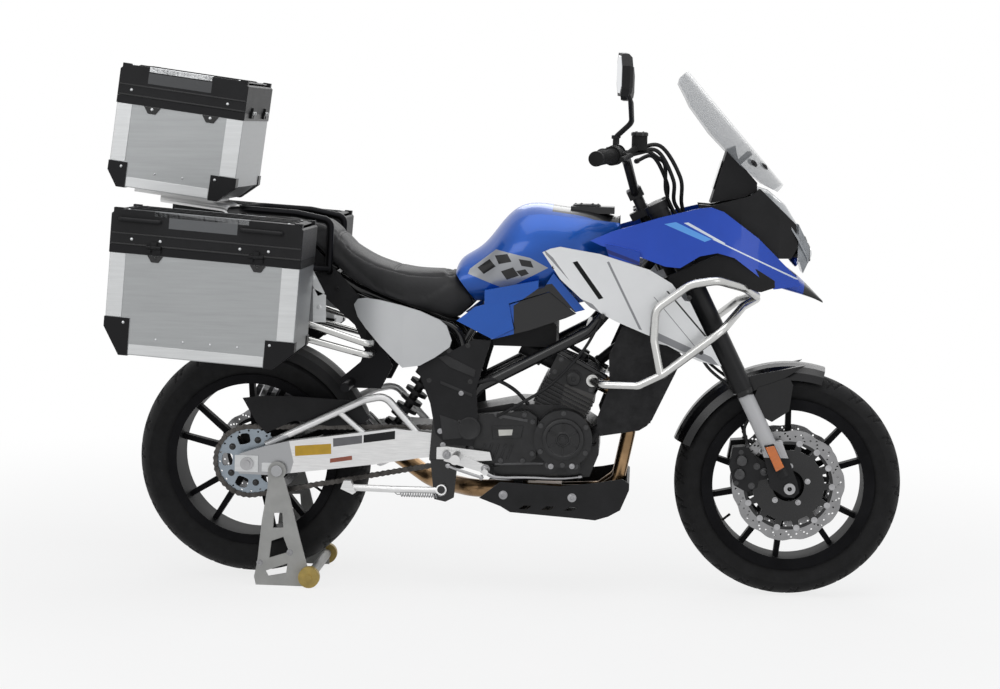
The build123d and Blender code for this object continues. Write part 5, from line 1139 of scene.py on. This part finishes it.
# crowned visor over the nose, down to its sides
shape = Shape()
rings = []
for x, z, half in ((630, 1089, 74), (672, 1077, 84), (718, 1040, 84), (756, 982, 76), (783, 934, 60),
                   (787, 918, 54)):
    rings.append(shape.ring([(x + rise * 0.7 - 5 * (k / 4) ** 2, half * k / 4, z + rise - 27 * (k / 4) ** 2)
                             for rise, order in ((0, range(-4, 5)), (-3, range(4, -5, -1))) for k in order]))
shape.skin(rings)
shape.done("nose_visor", "visor", smooth=50)

# headlamp: two projectors in a dark mask, and light bars beside and above them
piece("lamp_mask", "display", [([(784, 897), (784, 929), (785.2, 929), (785.2, 897)], -50, 50)], bevel=0.5)
piece("lamp_rings", "chrome", lathes=[
    ([(21, 0), (21, 2.4), (18.5, 3), (17, 1.2), (15, 1.0)], (785, y, 912.5), FORE, 48) for y in (-26, 26)])
piece("lamp_lenses", "clear_lens", lathes=[
    ([(15.4, 0), (14, 2.6), (10, 4.6), (5, 5.6), (TIP, 6)], (785, y, 912.5), FORE, 40) for y in (-26, 26)])
SIDE_BAR = [(778, 941), (785.4, 929), (786.6, 930), (779.2, 942)]
piece("light_bars", "label", [(SIDE_BAR, -52, -44), (SIDE_BAR, 44, 52),
                              ([(771, 958), (777, 944), (778.2, 945), (772.2, 959)], -44, 44)], bevel=0.4)

# blank number plate and its screws
plate = Matrix.Translation((-792, 0, 700)) @ Matrix.Rotation(math.radians(12), 4, "Y")
piece("number_plate", "label", [([(-2.6, -61), (-1.6, -61), (-1.6, 61), (-2.6, 61)], -96, 96)], turn=plate,
      bevel=0.4)
piece("plate_screws", "bolt_steel", bolts=[((-2.6, y, 46), (-1, 0, 0), 5, 3) for y in (-80, 80)], turn=plate)

# radiator fins and a rim round the core
core = Matrix.Translation((345, 0, 470)) @ Matrix.Rotation(math.radians(14), 4, "Y")
shape = Shape()
for k in range(26):
    shape.block(34, 35.2, -118, 118, 10 + k * 7.8, 10 + k * 7.8 + 2.6)
shape.done("radiator_fins", "steel", turn=core)
shape = Shape()
for span in ((-128, 128, 0, 7), (-128, 128, 208, 215), (-128, -119, 7, 208), (119, 128, 7, 208)):
    shape.block(34, 37, *span)
shape.done("radiator_rim", "black_plastic", turn=core, bevel=1.0)

# ---- covers, gear rod, axle and stand fittings ------------------------------------------------
# lighter grey facets and a round cap on the frame covers, their lighter grey a painted highlight; bright
# bolts; lighter metal strips on ridges of the left cover, a painted highlight
piece("cover_facet_highlights", "dark_grey", [
    ([(-178, 622), (-157, 628), (-78, 591), (-82, 572), (-146, 596)], -161.4, -159),
    ([(-170, 560), (-86, 528), (-86, 520), (-170, 552)], -160.8, -159),
    ([(-170, 470), (-110, 452), (-112, 410), (-160, 404)], -160.8, -159)],
    [([(30, 0), (30, 2), (27, 3), (24, 1), (TIP, 1)], (-92, -159, 436), OUT, 40)], twin=True, bevel=0.8)
bright = [((x, y, z), OUT, r, 4) for x, y, z, r in (
    (-115, -160.6, 529, 4.5), (-168, -159, 427, 5), (-160, -159, 391, 5), (125, -167.8, 345, 5),
    (180, -167.8, 347, 5))]
bright += [((x, -170, z), OUT, 8, 6) for x, z in ((-148, 366), (-46, 333))]
bright += [((x, 150 * side, z), (0, side, 0), 8, 5) for x, z in ((1, 262), (182, 261)) for side in (-1, 1)]
piece("bright_bolts", "bolt_steel", bolts=bright)
hose("gear_rod", [(-150, -178, 340), (-110, -178, 327), (-50, -178, 309)], 4, "steel", ends=3)
# lighter metal strips on the left cover: painted highlight
piece("cover_highlight_ridges", "dark_bolt", [([(-31, 478), (61, 464), (61, 456), (-26, 468)], -147.2, -143.8),
                                    ([(-24, 345), (110, 352), (114, 346), (-24, 339)], -146, -143.8)],
      bevel=1.0)
piece("cylinder_ribs", "casting", [
    ([tuple(on_cylinder(*at).xz) for at in ((f, 0, 28), (f, 0, 92), (f + 3, 0, 92), (f + 3, 0, 28))],
     -96, -92) for f in range(-52, 51, 17)], twin=True)

# axle adjuster blocks and their scale at the ends of the swingarm
shape = Shape()
shape.block(-712, -650, -149, -146, 300, 344)
shape.block(-640, -604, -149, -146, 302, 326)
for k in range(7):
    shape.block(-706 + 8 * k, -704 + 8 * k, -149.6, -149, 334, 342)
shape.flip()
shape.done("axle_adjusters", "strip")

# bolts of the paddock stand
piece("stand_bolts", "bolt_steel", bolts=[((x, 158 * side, z), (0, side, 0), 6, 5) for side in (-1, 1)
                                          for x, z in ((-598, 307), (-560, 90), (-640, 60))])

# ---- paint that changes across one piece ------------------------------------------------
GREY, BLACK, WHITE = (0.36, 0.37, 0.39), (0.010, 0.010, 0.011), (0.66, 0.72, 0.80)
# the shrouds' second grey is painted shade along their lower edge, and also draws their panel lines
PAINTED_SHADE_AND_SEAM_GREY, PALE_BLUE, PAINTED_SHADE_BLUE = (0.27, 0.275, 0.29), (0.10, 0.34, 0.80), (0.002, 0.015, 0.17)
EDGE_SHARPNESS = 4000.0       # a colour's edge blends over a quarter of a millimetre
CASE_MARGIN, BAND = 9, 20.2   # mm that a case's zones pass its faces, and height of its dark band


def blend(tree, kind, share, before, after):
    """Mix node from one value to another, and its result."""
    first, second, result = (6, 7, 2) if kind == "RGBA" else (2, 3, 0)
    mixed = node(tree, "Mix", {}, data_type=kind)
    put(tree, mixed, {0: share, first: before, second: after})
    return mixed.outputs[result]


def zoned(name, base, *zones):
    """Copy of a material with other colours in parts of the object.

    A zone is (side outline (x, z) in mm, colour, roughness or None, span of |y| or None). The outline is
    convex and runs either way round.
    """
    material = paint[base].copy()
    material.name = name
    t = material.node_tree
    bsdf = t.nodes["Principled BSDF"]
    coords = next(n for n in t.nodes if n.type == "TEX_COORD")
    split = node(t, "SeparateXYZ", {0: coords.outputs["Object"]}).outputs
    x, z, out = split["X"], split["Z"], calc(t, "ABSOLUTE", split["Y"])
    color, rough = (bsdf.inputs[key].links[0].from_socket for key in ("Base Color", "Roughness"))
    for outline, tint, roughness, span in zones:
        pairs = list(zip(outline, outline[1:] + outline[:1]))
        turn = 1 if sum(x0 * z1 - x1 * z0 for (x0, z0), (x1, z1) in pairs) > 0 else -1
        edges = []
        for (x0, z0), (x1, z1) in pairs:
            nx, nz = turn * (z0 - z1), turn * (x1 - x0)
            size = math.hypot(nx, nz)
            across, up = calc(t, "MULTIPLY", x, nx / size), calc(t, "MULTIPLY", z, nz / size)
            edges.append(calc(t, "ADD", calc(t, "ADD", across, up), -(nx * x0 + nz * z0) / size * MM))
        if span:
            edges.append(calc(t, "SUBTRACT", out, span[0] * MM))
            edges.append(calc(t, "SUBTRACT", span[1] * MM, out))
        inside = None
        for edge in edges:
            depth = node(t, "Clamp", {})
            put(t, depth, {0: calc(t, "MULTIPLY", edge, EDGE_SHARPNESS)})
            inside = calc(t, "MULTIPLY", inside, depth.outputs[0]) if inside else depth.outputs[0]
        color = blend(t, "RGBA", inside, color, (*tint, 1))
        if roughness is not None:
            rough = blend(t, "FLOAT", inside, rough, roughness)
    put(t, bsdf, {"Base Color": color, "Roughness": rough})
    paint[name] = material


def case_paint(tag, form, spans, panel, panel_tint):
    """Dark corner brackets and band on a case, and a paler panel (shares, foot, head) on its lid."""
    turn, (length, _, height, rise), (rear_cut, front_cut) = form

    def region(x0, x1, z0, z1):
        return [tuple((turn @ Vector((x, 0, z))).xz) for x, z in ((x0, z0), (x1, z0), (x1, z1), (x0, z1))]

    low, high, foot, head = panel
    low_x, high_x = -CASE_MARGIN, length + CASE_MARGIN
    corners = [region(low_x, rear_cut[0] + CORNER[0], -CASE_MARGIN, rear_cut[1] + CORNER[1]),
               region(length - front_cut[0] - CORNER[0], high_x, -CASE_MARGIN, front_cut[1] + CORNER[1])]
    zoned(f"{tag}_body_paint", "sheet",
          (region(low_x, high_x, height - BAND, height + CASE_MARGIN), BLACK, 0.4, None),
          *((corner, BLACK, 0.4, span) for corner in corners for span in spans))
    zoned(f"{tag}_lid_paint", "black_plastic",
          (region(length * low, length * high, height + foot, height + rise - head), panel_tint, 0.34, None))


# plain blocks of grey and black on the tank's flank, and a black filler console
TANK_BLOCKS = ([(-84, 856), (-52, 880), (-34, 862), (-66, 840)],
               [(-38, 890), (-4, 896), (8, 876), (-26, 868)],
               [(-20, 850), (12, 862), (28, 840), (-4, 828)],
               [(26, 884), (58, 880), (66, 862), (34, 866)],
               [(20, 852), (44, 858), (54, 846), (34, 838)])
zoned("tank_paint", "blue",
      ([(-104, 852), (-35, 906), (56, 888), (104, 863), (-7, 803), (-109, 839)], GREY, 0.4, None),
      *((block, BLACK, 0.35, None) for block in TANK_BLOCKS),
      ([(108, 1002), (318, 976), (330, 1060), (108, 1060)], BLACK, 0.35, (0, 90)))
# on the tank panels, the black zone colours the sheet in the gap under the tank: painted shade
zoned("panel_paint", "blue",
      ([(16, 762), (92, 819), (115, 823), (182, 747), (101, 680), (20, 660)], BLACK, 0.45, None))
zoned("flank_paint", "flank_blue",
      ([(400, 986), (430, 992), (524, 950), (506, 943)], PALE_BLUE, None, None),
      ([(450, 990), (462, 992), (560, 940), (552, 938)], WHITE, None, None),
      ([(524, 950), (532, 950), (758, 848), (748, 848)], WHITE, None, None),
      # a deep blue line on the fairing's lower facet: painted shade
      ([(236, 926), (240, 914), (408, 856), (404, 866)], PAINTED_SHADE_BLUE, None, None),
      ([(764, 760), (860, 760), (860, 860), (776, 846)], BLACK, 0.4, None))
# shrouds: the grey bands along the lower edge are painted shade; the thin grey and black lines are panel
# lines
zoned("shroud_paint", "pale_silver", *((outline, tint, 0.5, None) for outline, tint in (
    ([(60, 940), (99, 899), (137, 836), (203, 760), (206, 776), (160, 836), (122, 888)], PAINTED_SHADE_AND_SEAM_GREY),
    ([(137, 836), (203, 760), (373, 695), (376, 714), (222, 776), (165, 836)], PAINTED_SHADE_AND_SEAM_GREY),
    ([(373, 695), (560, 616), (533, 646), (376, 714)], PAINTED_SHADE_AND_SEAM_GREY),
    ([(410, 816), (416, 816), (519, 700), (513, 700)], BLACK),
    ([(378, 800), (381, 800), (490, 674), (487, 674)], PAINTED_SHADE_AND_SEAM_GREY),
    ([(256, 886), (262, 888), (352, 712), (344, 714)], PAINTED_SHADE_AND_SEAM_GREY))))
zoned("engine_paint", "casting",
      ([(154, 556), (247, 524), (231, 463), (143, 500)], (0.07, 0.068, 0.066), 0.34, (0, 110)),
      ([(-23, 345), (116, 345), (138, 318), (232, 340), (228, 280), (-24, 280)], (0.045, 0.043, 0.041), 0.4,
       None))
for name, base, *zone in (
        ("fork_paint", "satin_black", [(560, 380), (900, 380), (900, 545), (560, 545)], (0.62, 0.62, 0.63),
         0.16, None),
        ("lamp_paint", "lamp", [(-820, 700), (-700, 700), (-700, 900), (-820, 900)], (0.36, 0.008, 0.008),
         None, None),
        ("peg_paint", "brushed", [(-470, 500), (-250, 500), (-250, 800), (-470, 800)], BLACK, 0.45, None),
        ("exhaust_paint", "headers", [(-760, 250), (-330, 250), (-330, 520), (-760, 520)],
         (0.035, 0.035, 0.037), 0.38, None),
        ("rack_paint", "stainless", [(-770, 858), (-440, 800), (-440, 1010), (-770, 1010)], BLACK, 0.4,
         (0, 215)),
        ("top_rack_paint", "brushed", [(-740, 900), (-500, 900), (-500, 1000), (-740, 1000)], BLACK, 0.4,
         None),
        ("arm_paint", "brushed", [(-760, 270), (-572, 270), (-556, 330), (-572, 400), (-760, 400)],
         (0.36, 0.365, 0.375), None, None)):
    zoned(name, base, zone)
case_paint("pannier", PANNIER, ((447, 500), (200, 277)), (0.30, 0.66, 50, 0), (0.16, 0.165, 0.17))
case_paint("top_case", TOP_CASE, ((153, 200),), (0.22, 0.72, 38, 14), (0.10, 0.102, 0.105))

# looks of the loaded parts
NODE_LOOKS = {
    "black_paint": "main_frame rear_subframe", "engine_paint": "engine", "fins": "radiator",
    "exhaust_paint": "exhaust", "satin_black": "skid_plate rear_shock handlebar front_calipers rear_caliper",
    "fork_paint": "fork", "arm_paint": "swingarm", "top_rack_paint": "top_case_rack",
    "peg_paint": "foot_controls", "brushed": "side_stand",
    "steel": "rear_axle front_axle front_discs rear_disc_and_sprocket", "chain": "drive_chain",
    "black_plastic": "rear_hugger frame_covers nose_cowl instrument_panel plate_bracket mirrors airbox",
    "tank_paint": "fuel_tank", "flank_paint": "front_fairing", "panel_paint": "tank_panels",
    "leather": "seat", "silver": "side_panels", "shroud_paint": "shrouds", "lamp_paint": "lamps",
    "clear": "windscreen", "stainless": "crash_bars", "rack_paint": "pannier_racks",
    "stand_grey": "paddock_stand", "pannier_body_paint": "pannier_body_left pannier_body_right",
    "top_case_body_paint": "top_case_body", "pannier_lid_paint": "pannier_lid_left pannier_lid_right",
    "top_case_lid_paint": "top_case_lid", "rubber": "hand_controls front_tyre rear_tyre",
    "gloss_black": "front_fender", "wheel_black": "front_rim rear_rim", "castor": "stand_castors",
}
for look, names in NODE_LOOKS.items():
    for name in names.split():
        dress(nodes[name], look)

# ---- floor: its own shade shows only near the object, and fades into the white backdrop ------
FLOOR, FLOOR_Z = 40.0, -0.0005
FADE_FROM, FADE_TO, FADE_NEAR = 1.1, 3.2, 0.80
floor_mesh = bpy.data.meshes.new("floor")
floor_mesh.from_pydata([(x, y, FLOOR_Z) for x, y in ((-FLOOR, -FLOOR), (FLOOR, -FLOOR), (FLOOR, FLOOR),
                                                      (-FLOOR, FLOOR))], [], [(0, 1, 2, 3)])
floor = link_new("floor", floor_mesh)
dress(floor, "floor")
tree = paint["floor"].node_tree
glow = node(tree, "Emission", {"Color": (1, 1, 1, 1)})
fade = node(tree, "MixShader", {})
near = node(tree, "TexCoord", {})
span = node(tree, "VectorMath", {0: near.outputs["Object"]}, operation="LENGTH")
away = node(tree, "MapRange", {"Value": span.outputs["Value"], "From Min": FADE_FROM, "From Max": FADE_TO,
                               "To Min": FADE_NEAR, "To Max": 1.0}, interpolation_type="SMOOTHSTEP")
share = node(tree, "Math", {}, operation="MULTIPLY")
put(tree, share, {0: plain_rays(tree), 1: away.outputs[0]})
put(tree, fade, {0: share.outputs[0], 1: tree.nodes["Principled BSDF"].outputs[0], 2: glow.outputs[0]})
surface = next(n for n in tree.nodes if n.type == "OUTPUT_MATERIAL")
put(tree, surface, {"Surface": fade.outputs[0]})
